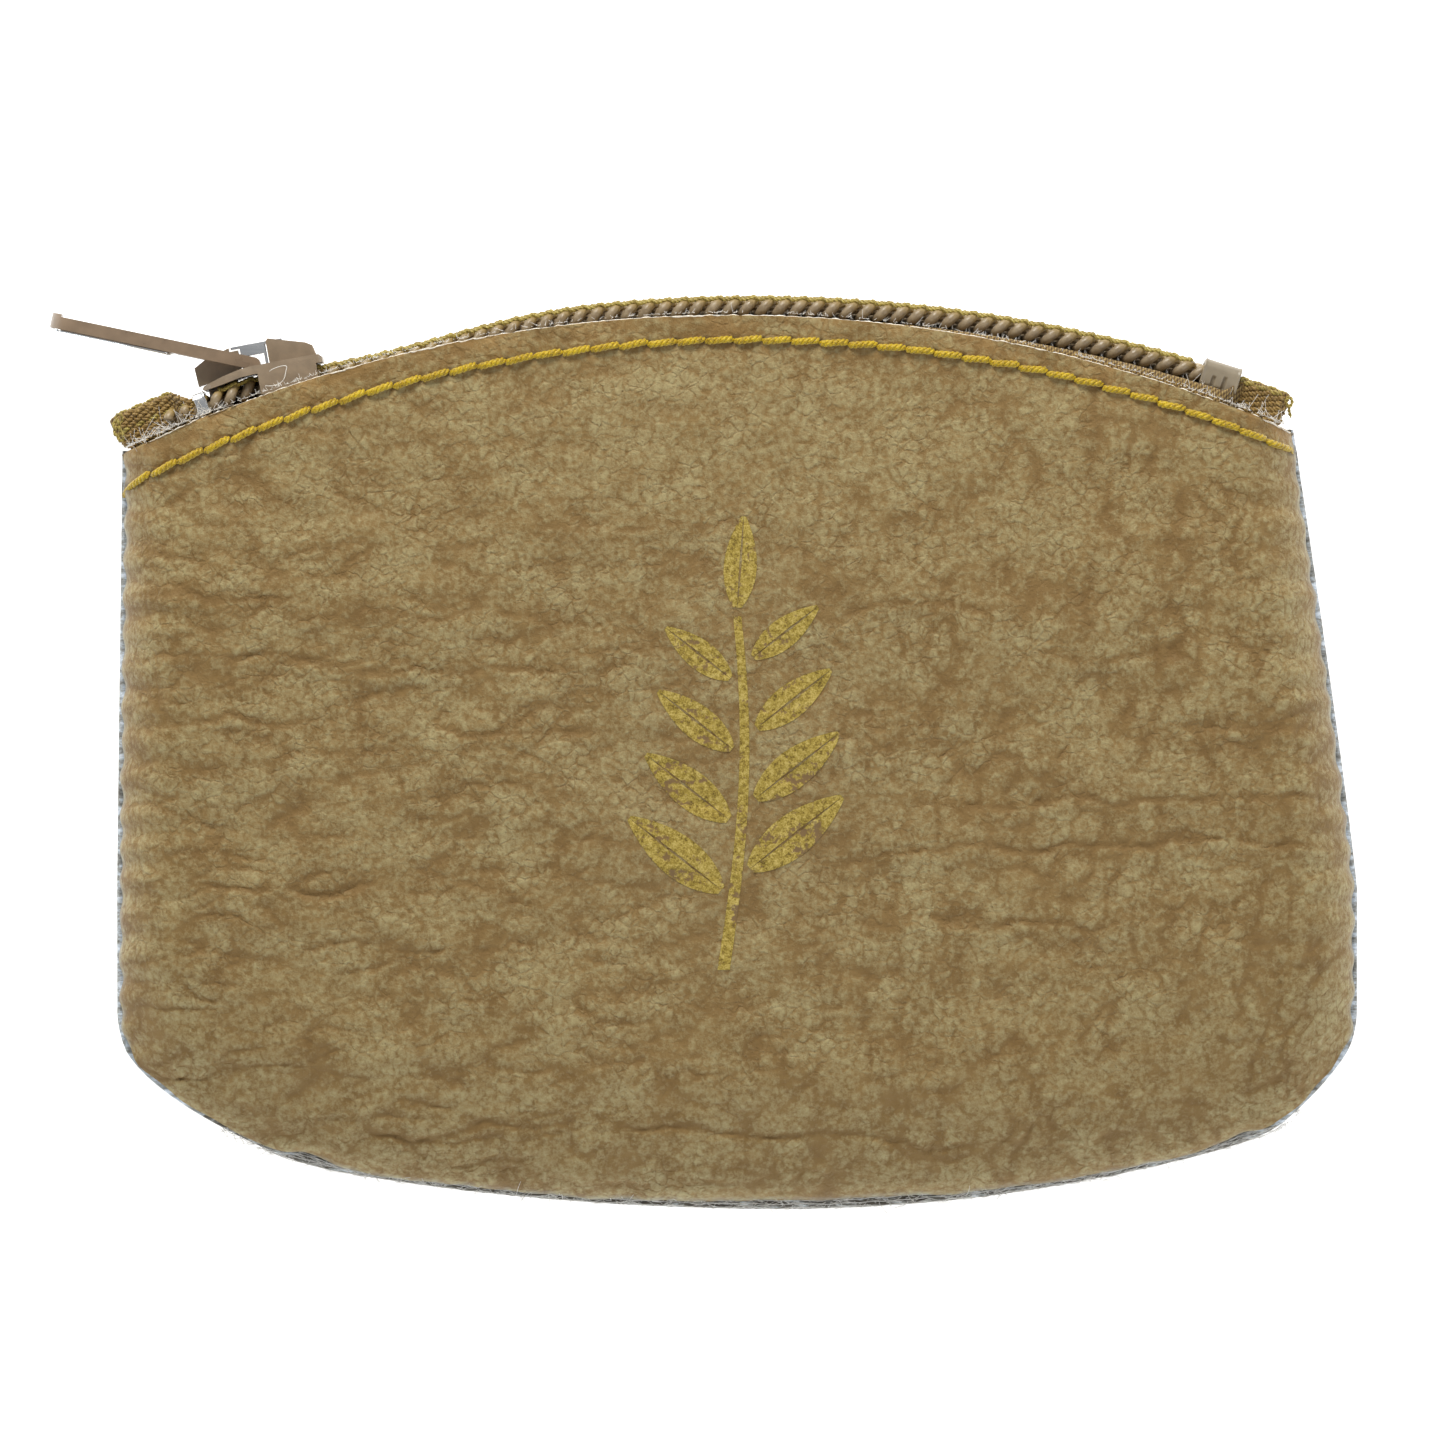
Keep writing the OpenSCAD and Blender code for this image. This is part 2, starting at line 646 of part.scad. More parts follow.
module outer_stitches(side) {
    lift = side > 0 ? 0.08 : thread_d / 2;
    for (k = [0:stitch_count - 1]) {
        a = stitch_place(k + stitch_gap / 2 / stitch_pitch);
        b = stitch_place(k + 1 - stitch_gap / 2 / stitch_pitch);
        rod([a.x, a.y, (side > 0 ? front_z(a.x, a.y) : back_z(a.x, a.y)) + lift],
            [b.x, b.y, (side > 0 ? front_z(b.x, b.y) : back_z(b.x, b.y)) + lift], thread_d / 2);
    }
}

module inner_stitches(side) {
    for (k = [2:stitch_count - 3]) {
        a = stitch_place(k + 0.5 + stitch_gap / 2 / stitch_pitch);
        b = stitch_place(k + 1.5 - stitch_gap / 2 / stitch_pitch);
        rod([a.x, a.y, inside_z(a.x, a.y, side) - side * inner_thread_d / 2],
            [b.x, b.y, inside_z(b.x, b.y, side) - side * inner_thread_d / 2], inner_thread_d / 2);
    }
}

module front_needle_thread() {
    color("#c79a1e") outer_stitches(1);
}

module front_bobbin_thread() {
    color("#c79a1e") inner_stitches(1);
}

module back_needle_thread() {
    color("#c79a1e") outer_stitches(-1);
}

module back_bobbin_thread() {
    color("#c79a1e") inner_stitches(-1);
}

seam_stitch_inset = leather_t + 0.5;
side_stitches = floor((top_y(-1) - corner_top_y) / seam_pitch);
bottom_stitches = floor(pouch_w / seam_pitch);

function seam_uv(k) =
    k <= side_stitches ? [0, 1 - k / side_stitches]
    : k <= side_stitches + bottom_stitches ? [(k - side_stitches) / bottom_stitches, 0]
    : [1, (k - side_stitches - bottom_stitches) / side_stitches];

module seam_stitches(side) {
    for (k = [0:2 * side_stitches + bottom_stitches - 1]) {
        uv0 = seam_uv(k);
        uv1 = seam_uv(k + 1);
        a = plan(uv0[0], uv0[1], seam_stitch_inset);
        b = plan(uv1[0], uv1[1], seam_stitch_inset);
        lift = side * (leather_t + inner_thread_d / 2);
        p = lerp([a.x, a.y, seam_z(a.y) + lift], [b.x, b.y, seam_z(b.y) + lift], 0.12);
        q = lerp([a.x, a.y, seam_z(a.y) + lift], [b.x, b.y, seam_z(b.y) + lift], 0.88);
        rod(p, q, inner_thread_d / 2);
    }
}

module side_seam_needle_thread() {
    color("#b8a27a") seam_stitches(1);
}

module side_seam_bobbin_thread() {
    color("#b8a27a") seam_stitches(-1);
}

front_panel();
back_panel();
foil_motif();
front_zip_tape();
back_zip_tape();
front_coil();
back_coil();
front_core_cord();
back_core_cord();
front_coil_stitching();
back_coil_stitching();
front_top_stop();
back_top_stop();
bottom_stop();
slider_body();
slider_lock_spring();
pull_tab();
front_needle_thread();
front_bobbin_thread();
back_needle_thread();
back_bobbin_thread();
side_seam_needle_thread();
side_seam_bobbin_thread();
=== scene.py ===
import math

import bpy
import numpy as np
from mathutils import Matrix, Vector


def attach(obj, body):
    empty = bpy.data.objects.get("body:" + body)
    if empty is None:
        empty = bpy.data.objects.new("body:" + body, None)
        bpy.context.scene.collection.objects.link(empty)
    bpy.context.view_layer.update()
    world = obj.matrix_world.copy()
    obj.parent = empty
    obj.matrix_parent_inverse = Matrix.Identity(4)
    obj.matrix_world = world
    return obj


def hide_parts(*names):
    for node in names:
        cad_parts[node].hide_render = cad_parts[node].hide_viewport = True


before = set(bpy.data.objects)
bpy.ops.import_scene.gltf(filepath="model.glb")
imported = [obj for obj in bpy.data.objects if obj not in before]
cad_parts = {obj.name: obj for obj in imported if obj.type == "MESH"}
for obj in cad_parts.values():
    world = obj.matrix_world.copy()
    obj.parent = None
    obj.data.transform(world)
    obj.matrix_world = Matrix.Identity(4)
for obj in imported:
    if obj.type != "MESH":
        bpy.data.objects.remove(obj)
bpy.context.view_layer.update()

MM = 0.001
rng = np.random.RandomState(7)

# ---------- camera, floor and light ----------

scene = bpy.context.scene
scene.view_settings.view_transform = "Standard"
scene.view_settings.look = "None"

cam_data = bpy.data.cameras.new("camera")
cam = bpy.data.objects.new("camera", cam_data)
scene.collection.objects.link(cam)
cam.location = (-0.0013, 0.0033, 1.5067)
cam.rotation_euler = (0, 0, 0)
# so far off that it is nearly parallel, and 128.2 mm across at the pouch's front
cam_data.sensor_width = 36
cam_data.lens = cam_data.sensor_width * 1.5 / 0.1282
cam_data.clip_start, cam_data.clip_end = 0.01, 20
scene.camera = cam


def area_light(name, place, target, size, power, colour):
    data = bpy.data.lights.new(name, "AREA")
    data.shape, data.size, data.size_y = "RECTANGLE", size[0], size[1]
    data.energy, data.color = power, colour
    ob = bpy.data.objects.new(name, data)
    scene.collection.objects.link(ob)
    ob.location = place
    ob.rotation_euler = (Vector(target) - Vector(place)).to_track_quat("-Z", "Y").to_euler()


area_light("key", (-0.14, 0.74, 0.44), (0, 0, 0), (0.46, 0.26), 7.1, (1.0, 0.985, 0.93))
area_light("fill", (0.45, -0.25, 0.70), (0, 0, 0), (0.6, 0.6), 1.4, (0.96, 0.98, 1.0))
# long low strips that catch the fibres of the seam
area_light("rim_low", (0.05, -0.95, 0.09), (0, -0.04, 0.003), (1.1, 0.12), 3.6, (0.86, 0.95, 1.0))
area_light("rim_left", (-0.95, -0.05, 0.09), (-0.05, 0, 0.003), (1.0, 0.12), 0.6, (0.84, 0.93, 1.0))
area_light("rim_right", (0.95, -0.05, 0.09), (0.05, 0, 0.003), (1.0, 0.12), 0.9, (0.86, 0.95, 1.0))

world = bpy.data.worlds.new("world")
scene.world = world
world.use_nodes = True
world.node_tree.nodes["Background"].inputs["Color"].default_value = (0.97, 0.985, 1.0, 1)
world.node_tree.nodes["Background"].inputs["Strength"].default_value = 0.36

# ---------- values, in mm, as in the CAD ----------

POUCH_W, CROWN_Y, BOTTOM_DEPTH, BELLY_T, MOUTH_R = 110.3, 39.6, 40.0, 7.5, 125.7
BOTTOM_LEFT_R, BOTTOM_RIGHT_R, LEFT_LEAN, RIGHT_LEAN = 250.0, 150.0, 0.6, 5.8
LEFT_CORNER, RIGHT_CORNER = (15.5, 11.2), (7.4, 8.8)
LEFT_BULGE, RIGHT_BULGE, LOWEST_X = 1.7, 0.75, 4
LEATHER_T, SIDE_ROLL, FRONT_ROLL, BACK_ROLL, SEAM_LIFT = 1.2, 6.0, 14.0, 8.0, 0.35
STITCH_INSET, STITCH_PITCH, SEAM_PITCH = 2.6, 2.53, 3.2
CHAIN_R, COIL_PITCH, COIL_WIRE, COIL_W, COIL_H = 137.8, 1.5, 0.64, 3.64, 1.88
HALF_W = POUCH_W / 2
LEFT_X, RIGHT_X = LEFT_LEAN - HALF_W, HALF_W - RIGHT_LEAN
# half the thickness at the mouth, where the chain's middle plane lies
HALF_T = 6.7
MOUTH_C = (-0.5, CROWN_Y - MOUTH_R)
STITCH_C = (MOUTH_C[0] + 1.4, MOUTH_C[1] + 0.1)
STITCH_R = MOUTH_R - STITCH_INSET
CHAIN_C = (1.4, CROWN_Y + 0.3 - CHAIN_R)
# degrees left of the chain centre where the closed stretch begins, at the slider
CLOSED = 18.40
CORNER_TOP_Y = 14.8 - BOTTOM_DEPTH
WIDEST_Y = 28.5 - BOTTOM_DEPTH
SEAM_LOW_Z = 2.9


def lerp(a, b, t):
    return a + (b - a) * t


def clamp(t):
    return np.clip(t, 0, 1)


def ease(t):
    t = clamp(t)
    return t * t * (3 - 2 * t)


def soft_max(a, b, k):
    """The larger of two, rounded over a width of k where they cross."""
    return (a + b + np.sqrt((a - b) ** 2 + k * k)) / 2


def quarter(t):
    """A quarter circle's rise, from 0 to 1."""
    return np.sqrt(np.maximum(0, 1 - (1 - clamp(t)) ** 2))


def mouth_y(x):
    return MOUTH_C[1] + np.sqrt(MOUTH_R**2 - (x - MOUTH_C[0]) ** 2)


def corner_line(x, side, corner, bulge):
    run = HALF_W + side * x
    return CORNER_TOP_Y - corner[1] / corner[0] * run - bulge * np.sin(np.pi * clamp(run / corner[0]) ** 0.55)


def bottom_y(x):
    x = np.asarray(x, float)
    r = np.where(x < LOWEST_X, BOTTOM_LEFT_R, BOTTOM_RIGHT_R)
    curve = r - BOTTOM_DEPTH - np.sqrt(r * r - (x - LOWEST_X) ** 2)
    return soft_max(soft_max(curve, corner_line(x, 1, LEFT_CORNER, LEFT_BULGE), 1.2),
                    corner_line(x, -1, RIGHT_CORNER, RIGHT_BULGE), 1.2)


def top_y(side):
    return mouth_y(LEFT_X if side < 0 else RIGHT_X)


def side_x(y, side):
    lean = LEFT_LEAN if side < 0 else RIGHT_LEAN
    up = clamp((y - WIDEST_Y) / (top_y(side) - WIDEST_Y))
    low = clamp((CORNER_TOP_Y + 3 - y) / 3)
    return side * (HALF_W - lean * up**1.1 - 0.5 * low * low)


def plan(u, v, inset=0.0, low=0.0, gap=0.0):
    """X and Y at u across and v up a panel, drawn in by inset all round, low below and gap at the sides."""
    top_x = lerp(LEFT_X, RIGHT_X, u)
    low_y = bottom_y(lerp(-HALF_W, HALF_W, u)) + inset + low
    y = lerp(low_y, mouth_y(top_x), v)
    return lerp(side_x(y, -1) + inset + gap, side_x(y, 1) - inset - gap, u), y


def seam_z(y):
    return lerp(SEAM_LOW_Z, HALF_T, clamp((y - CORNER_TOP_Y) / (top_y(-1) - CORNER_TOP_Y)) ** 1.6)


def crown_z(x, y):
    below = mouth_y(x) - y
    depth = mouth_y(x) - bottom_y(x)
    return lerp(2 * HALF_T, BELLY_T, clamp((below - 14) / (depth - 14)) ** 1.5)


# ---------- seeded noise ----------


def perlin(x, y, seed):
    r = np.random.RandomState(seed)
    perm = np.tile(r.permutation(256), 2)
    turn = r.rand(256) * 2 * np.pi
    xi, yi = np.floor(x).astype(int), np.floor(y).astype(int)
    xf, yf = x - xi, y - yi
    u, v = (t * t * t * (t * (t * 6 - 15) + 10) for t in (xf, yf))

    def g(i, j, dx, dy):
        a = turn[perm[(perm[i & 255] + j) & 255]]
        return np.cos(a) * dx + np.sin(a) * dy

    low = lerp(g(xi, yi, xf, yf), g(xi + 1, yi, xf - 1, yf), u)
    high = lerp(g(xi, yi + 1, xf, yf - 1), g(xi + 1, yi + 1, xf - 1, yf - 1), u)
    return 1.5 * lerp(low, high, v)


def fbm(x, y, seed, octaves=3):
    return sum(perlin(x * 2**k, y * 2**k, seed + k) / 2**k for k in range(octaves))


def worley(x, y, seed):
    """Distances to the nearest and the next of scattered points."""
    r = np.random.RandomState(seed)
    px, py = 0.1 + 0.8 * r.rand(64, 64), 0.1 + 0.8 * r.rand(64, 64)
    xi, yi = np.floor(x).astype(int), np.floor(y).astype(int)
    near, far = np.full(x.shape, 9.0), np.full(x.shape, 9.0)
    for i in (-1, 0, 1):
        for j in (-1, 0, 1):
            a, b = (xi + i) & 63, (yi + j) & 63
            d = np.hypot(xi + i + px[a, b] - x, yi + j + py[a, b] - y)
            far = np.where(d < near, near, np.minimum(far, d))
            near = np.minimum(near, d)
    return near, far


# the longest creases: from x, to x, y at the start, slope
LONG_CREASES = [
    (-54, -37, 14.6, -0.03), (-41, -21, 12.6, 0.02), (-53, -30, 9.4, -0.02), (-37, -12, 7.4, 0.04),
    (-50, -36, 3.4, 0.02), (-28, -10, 3.2, -0.05), (8, 25, 13.6, 0.0), (-12, 3, 20.5, 0.05),
    (20, 54, -3.7, 0.012), (10, 53, -8.1, 0.02), (39, 53, 3.0, 0.0), (-34, -12, -33.6, 0.07),
    (-14, 22, -32.2, -0.06), (24, 42, 9.2, -0.03), (-48, -30, -12.0, 0.05), (14, 34, -14.2, -0.02),
]


def relief(x, y):
    """Height of the wrinkled face in mm, and how deep in a crease each place lies, 0 to 1."""
    wx = x + 1.4 * perlin(x / 6, y / 6, 11) + 0.6 * perlin(x / 2.1, y / 2.1, 12)
    wy = y + 1.1 * perlin(x / 7, y / 5, 13) + 0.42 * perlin(x / 2.3, y / 1.9, 14)
    left = ease((18 - x) / 38)
    calm = 1 - 0.72 * np.exp(-(((x - 2) / 24) ** 2 + ((y - 28) / 9) ** 2))

    def cells(sx, sy, turn, seed, width):
        c, s = math.cos(turn), math.sin(turn)
        near, far = worley((wx * c + wy * s) / sx + 200, (wy * c - wx * s) / sy + 200, seed)
        return np.exp(-(far - near) / width)

    def some(sx, sy, seed, share):
        return ease((perlin(x / sx, y / sy, seed) + share) / 0.45)

    long = cells(8.0, 2.2, 0.04, 21, 0.17) * (0.25 + 0.75 * left) * some(7, 3.2, 24, 0.30)
    tall = cells(2.7, 5.2, -0.22, 22, 0.17) * (1 - left) * some(5, 6, 25, 0.22)
    blocks = cells(3.3, 2.5, 0.2, 26, 0.18) * some(6, 5, 27, 0.12)
    mesh = cells(1.35, 1.05, 0.25, 23, 0.24) * (0.35 + 0.65 * some(5, 5, 28, 0.1))
    drawn, ridge = 0 * x, 0 * x
    for k, (x0, x1, y0, slope) in enumerate(LONG_CREASES):
        d = wy - 0.35 * (wy - y) - y0 - slope * (x - x0) - 0.8 * perlin(x / 6.5 + 9 * k, 0 * x, 33)
        ends = ease((x - x0) / 3) * ease((x1 - x) / 4)
        ends = ends * ease((perlin(x / 3.0, 0 * x + 5 * k, 34) + 0.75) / 0.6)
        drawn = np.maximum(drawn, np.exp(-((d / 0.26) ** 2)) * ends)
        ridge = np.maximum(ridge, np.exp(-(((d + 0.75) / 0.55) ** 2)) * ends)
    swell = 0.26 * fbm(x / 15, y / 9, 41, 3) + 0.07 * perlin(x / 6.5, y / 2.8, 44) * left
    swell = swell + 0.035 * perlin(x / 2.6, y / 2.4, 45)
    h = swell - calm * (0.19 * long + 0.17 * tall + 0.11 * blocks + 0.07 * mesh) - 0.14 * drawn + 0.07 * ridge
    deep = clamp(calm * (0.75 * long + 0.85 * tall + 0.5 * blocks + 0.30 * mesh) + 0.85 * drawn)
    return h, deep


def stitch_line_distance(x, y):
    return np.hypot(x - STITCH_C[0], y - STITCH_C[1]) - STITCH_R


def seam_beat(x, y):
    """The seam's puckers, 0 to 1, one to each stitch along its rough length."""
    along = np.where(y > CORNER_TOP_Y, y, 0) + np.where(y <= CORNER_TOP_Y, x * 1.04, 0)
    return 0.5 + 0.5 * np.cos(2 * np.pi * along / SEAM_PITCH)


def low_edge(x):
    """How far the front's bottom edge is drawn in above the back's."""
    wave = 0.20 + 0.40 * np.exp(-(((x - 8) / 16) ** 2))
    wave = wave + 0.22 * perlin(x / 9, 0 * x, 51) + 0.16 * perlin(x / 3, 0 * x, 52)
    corner = 0.60 * np.exp(-(((x + 38.5) / 2.0) ** 2)) + 0.45 * np.exp(-(((x - 45.5) / 2.2) ** 2))
    return 0.16 + np.maximum(0.06, wave + corner) * ease((x + 43) / 4) * ease((50 - x) / 5)


def side_gap(y, side):
    """How far the front's side edge is drawn in from the back's, one scallop to each few stitches."""
    beat = np.cos(2 * np.pi * y / SEAM_PITCH + 1.3 * perlin(y / 8, 0 * y + side, 53))
    width = 0.36 + 0.15 * beat + 0.14 * perlin(y / 2.6, 0 * y + 4 * side, 54)
    return width * (1 - 0.45 * ease((y - 22) / 6))


# ---------- meshes ----------


def mesh_object(name, verts, faces, body, materials, index=None, attributes=None):
    """verts in mm; faces as an (n, 3 or 4) array or a list of such arrays."""
    verts = np.asarray(verts, np.float64) * MM
    groups = faces if isinstance(faces, list) else [faces]
    loops = np.concatenate([g.ravel() for g in groups]).astype(np.int32)
    sizes = np.concatenate([np.full(len(g), g.shape[1]) for g in groups]).astype(np.int32)
    me = bpy.data.meshes.new(name)
    me.vertices.add(len(verts))
    me.vertices.foreach_set("co", verts.astype(np.float32).ravel())
    me.loops.add(len(loops))
    me.loops.foreach_set("vertex_index", loops)
    me.polygons.add(len(sizes))
    me.polygons.foreach_set("loop_start", np.concatenate([[0], np.cumsum(sizes)[:-1]]).astype(np.int32))
    me.polygons.foreach_set("use_smooth", np.full(len(sizes), True))
    for m in materials:
        me.materials.append(m)
    if index is not None:
        me.polygons.foreach_set("material_index", np.asarray(index, np.int32))
    me.update(calc_edges=True)
    me.validate()
    for key, values in (attributes or {}).items():
        a = me.attributes.new(key, "FLOAT", "POINT")
        a.data.foreach_set("value", np.asarray(values, np.float32))
    ob = bpy.data.objects.new(name, me)
    scene.collection.objects.link(ob)
    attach(ob, body)
    return ob


def grid_faces(rows, cols, start=0, closed=False, flip=False):
    """Quads of a grid of rows x cols points, closed round the columns if asked."""
    i = np.arange(rows - 1)[:, None]
    j = np.arange(cols if closed else cols - 1)[None, :]
    k = (j + 1) % cols
    quad = np.stack([i * cols + j, i * cols + k, (i + 1) * cols + k, (i + 1) * cols + j], -1)
    quad = quad.reshape(-1, 4) + start
    return quad[:, ::-1] if flip else quad


def frames(path):
    """Two unit vectors square to a path."""
    t = np.gradient(path, axis=0)
    t /= np.linalg.norm(t, axis=1)[:, None] + 1e-12
    up = np.broadcast_to(np.array([0.0, 0.0, 1.0]), t.shape)
    a = up - (up * t).sum(1)[:, None] * t
    n = np.linalg.norm(a, axis=1)
    if n.min() < 0.15:
        other = np.broadcast_to(np.array([0.3, 1.0, 0.2]) / 1.063, t.shape)
        b = other - (other * t).sum(1)[:, None] * t
        a = np.where((n < 0.15)[:, None], b, a)
    a /= np.linalg.norm(a, axis=1)[:, None]
    return a, np.cross(t, a)


class Tubes:
    """Many tubes gathered into one mesh."""

    def __init__(self):
        self.verts, self.quads, self.caps, self.count = [], [], [], 0

    def loft(self, rings, flip=False):
        """A tube through rings, an array of (rings, points in each, 3)."""
        n, m = rings.shape[:2]
        self.verts.append(rings.reshape(-1, 3))
        self.quads.append(grid_faces(n, m, self.count, closed=True, flip=flip))
        self.caps.append((self.count + np.arange(m)[::-1], self.count + (n - 1) * m + np.arange(m)))
        self.count += n * m

    def add(self, path, radius, sides):
        path = np.asarray(path, float)
        radius = np.broadcast_to(np.asarray(radius, float), (len(path),))
        a, b = frames(path)
        w = 2 * np.pi * np.arange(sides) / sides
        round_it = np.cos(w)[None, :, None] * a[:, None, :] + np.sin(w)[None, :, None] * b[:, None, :]
        self.loft(path[:, None, :] + radius[:, None, None] * round_it)

    def twisted(self, path, plies, ply_r, helix_r, pitch, sides=6, phase=0.0, taper=0.0, hand=1):
        """Plies wound round a path with many points."""
        path = np.asarray(path, float)
        a, b = frames(path)
        s = np.concatenate([[0], np.cumsum(np.linalg.norm(np.diff(path, axis=0), axis=1))])
        end = 1 if not taper else clamp(np.minimum(s, s[-1] - s) / taper) ** 0.6
        for p in range(plies):
            w = hand * 2 * np.pi * s / pitch + 2 * np.pi * p / plies + phase
            r = helix_r * (0.35 + 0.65 * end) if taper else helix_r
            r = np.broadcast_to(r, s.shape)
            self.add(path + r[:, None] * (np.cos(w)[:, None] * a + np.sin(w)[:, None] * b),
                     ply_r * (0.45 + 0.55 * end) if taper else ply_r, sides)

    def make(self, name, body, material, attributes=None):
        ends = [np.array([[c[0], c[k], c[k + 1]] for k in range(1, len(c) - 1)])
                for pair in self.caps for c in pair]
        faces = [np.concatenate(self.quads), np.concatenate(ends)]
        return mesh_object(name, np.concatenate(self.verts), faces, body, [material], attributes=attributes)


# ---------- materials ----------


class Nodes:
    """A material's nodes."""

    def __init__(self, name, rough, base):
        self.mat = bpy.data.materials.new(name)
        self.mat.use_nodes = True
        self.tree = self.mat.node_tree
        self.shader = self.tree.nodes["Principled BSDF"]
        self.shader.inputs["Roughness"].default_value = rough
        self.shader.inputs["Base Color"].default_value = (*base, 1)
        self.mat.diffuse_color = (*base, 1)
        self.coords = self.new("ShaderNodeTexCoord").outputs["Object"]

    def new(self, kind, **values):
        n = self.tree.nodes.new(kind)
        for key, value in values.items():
            setattr(n, key, value)
        return n

    def link(self, a, b):
        self.tree.links.new(a, b)

    def put(self, socket, value):
        if hasattr(value, "is_output"):
            self.link(value, socket)
        elif isinstance(value, tuple) and len(value) == 3 and socket.type == "RGBA":
            socket.default_value = (*value, 1)
        else:
            socket.default_value = value

    def mapping(self, scale, turn=(0, 0, 0)):
        n = self.new("ShaderNodeMapping")
        n.inputs["Scale"].default_value = scale
        n.inputs["Rotation"].default_value = turn
        self.link(self.coords, n.inputs["Vector"])
        return n.outputs["Vector"]

    def noise(self, size_mm, detail=2.0, rough=0.5, vector=None):
        n = self.new("ShaderNodeTexNoise")
        n.inputs["Scale"].default_value = 1000 / size_mm
        n.inputs["Detail"].default_value = detail
        n.inputs["Roughness"].default_value = rough
        self.link(vector or self.coords, n.inputs["Vector"])
        return n.outputs["Fac"]

    def voronoi(self, size_mm, feature="F1", vector=None):
        n = self.new("ShaderNodeTexVoronoi", feature=feature)
        n.inputs["Scale"].default_value = 1000 / size_mm
        self.link(vector or self.coords, n.inputs["Vector"])
        return n.outputs["Distance"]

    def attribute(self, name):
        return self.new("ShaderNodeAttribute", attribute_name=name).outputs["Fac"]

    def math(self, op, a, b):
        n = self.new("ShaderNodeMath", operation=op)
        self.put(n.inputs[0], a)
        self.put(n.inputs[1], b)
        return n.outputs[0]

    def ranged(self, value, low, high, to_low=0.0, to_high=1.0):
        n = self.new("ShaderNodeMapRange")
        self.link(value, n.inputs["Value"])
        for key, v in (("From Min", low), ("From Max", high), ("To Min", to_low), ("To Max", to_high)):
            n.inputs[key].default_value = v
        return n.outputs["Result"]

    def mix(self, factor, a, b):
        n = self.new("ShaderNodeMix", data_type="RGBA")
        self.put(n.inputs["Factor"], factor)
        self.put(n.inputs["A"], a)
        self.put(n.inputs["B"], b)
        return n.outputs["Result"]

    def ramp(self, value, stops):
        n = self.new("ShaderNodeValToRGB")
        self.link(value, n.inputs["Fac"])
        while len(n.color_ramp.elements) < len(stops):
            n.color_ramp.elements.new(0.5)
        for e, (place, colour) in zip(n.color_ramp.elements, stops):
            e.position, e.color = place, (*colour, 1)
        return n.outputs["Color"]

    def bump(self, height, depth_mm):
        n = self.new("ShaderNodeBump")
        n.inputs["Distance"].default_value = depth_mm * MM
        self.link(height, n.inputs["Height"])
        self.link(n.outputs["Normal"], self.shader.inputs["Normal"])

    def colour(self, value):
        self.link(value, self.shader.inputs["Base Color"])

    def rough(self, value):
        self.link(value, self.shader.inputs["Roughness"])


def leather_material():
    """Grained tan leather: mottled, with pores, cracks and an orange tint at the mouth; painted shade in the
    creases and the needle holes, and a painted reflection of the bright floor along the seam edges.
    """
    m = Nodes("leather_grain", 0.55, base=(0.26, 0.178, 0.078))
    warp = m.new("ShaderNodeVectorMath", operation="MULTIPLY_ADD")
    bend = m.new("ShaderNodeTexNoise")
    bend.inputs["Scale"].default_value = 800
    m.link(m.coords, bend.inputs["Vector"])
    m.link(bend.outputs["Color"], warp.inputs[0])
    warp.inputs[1].default_value = (0.0012, 0.0012, 0.0012)
    m.link(m.coords, warp.inputs[2])
    mottle = m.noise(0.60, 5, 0.72)
    patch = m.noise(4.5, 4, 0.62)
    soft = m.noise(1.7, 3, 0.6)
    pores = m.voronoi(0.46)
    cracks = m.ranged(m.voronoi(1.15, "DISTANCE_TO_EDGE", warp.outputs[0]), 0.01, 0.15, 1.0, 0.0)
    crease, edge = m.attribute("crease"), m.attribute("edge")
    mouth, hole = m.attribute("mouth"), m.attribute("hole")
    cracks = m.math("MULTIPLY", cracks, m.ranged(patch, 0.40, 0.58, 0.25, 1.0))
    pale = m.math("ADD", mottle, m.math("MULTIPLY", patch, 0.42))
    # painted shade: the paler tone is taken out deep in the creases
    pale = m.math("SUBTRACT", pale, m.math("MULTIPLY", crease, 0.20))
    pale = m.math("SUBTRACT", pale, m.math("MULTIPLY", cracks, 0.10))
    pale = m.ranged(m.math("SUBTRACT", pale, m.math("MULTIPLY", mouth, 0.06)), 0.55, 0.83)
    brown = m.mix(m.ranged(soft, 0.35, 0.65), (0.235, 0.140, 0.043), (0.300, 0.190, 0.066))
    tan = m.mix(pale, brown, (0.435, 0.350, 0.168))
    dots = m.math("MULTIPLY", m.ranged(pores, 0.10, 0.24, 1.0, 0.0), m.ranged(patch, 0.42, 0.60, 0.05, 0.42))
    tan = m.mix(dots, tan, (0.135, 0.085, 0.034))
    # painted shade darkening the creases
    tan = m.mix(m.math("MULTIPLY", crease, 0.34), tan, (0.175, 0.088, 0.024))
    tan = m.mix(m.math("MULTIPLY", mouth, m.ranged(soft, 0.3, 0.7, 0.12, 0.55)), tan, (0.50, 0.285, 0.095))
    # painted reflection of the bright floor along the rolled seam edges
    rim = m.ranged(m.noise(1.3, 3, 0.6), 0.30, 0.62, 0.05, 0.60)
    tan = m.mix(m.math("MULTIPLY", edge, rim), tan, (0.44, 0.46, 0.42))
    # painted shade in the needle holes
    m.colour(m.mix(hole, tan, (0.045, 0.020, 0.004)))
    m.rough(m.ranged(mottle, 0.35, 0.65, 0.66, 0.50))
    height = m.math("ADD", m.math("MULTIPLY", mottle, 0.7), m.math("MULTIPLY", soft, 0.7))
    height = m.math("SUBTRACT", height, m.math("MULTIPLY", dots, 0.22))
    height = m.math("SUBTRACT", height, m.math("MULTIPLY", cracks, 0.22))
    m.bump(height, 0.24)
    m.shader.inputs["Specular IOR Level"].default_value = 0.30
    return m.mat


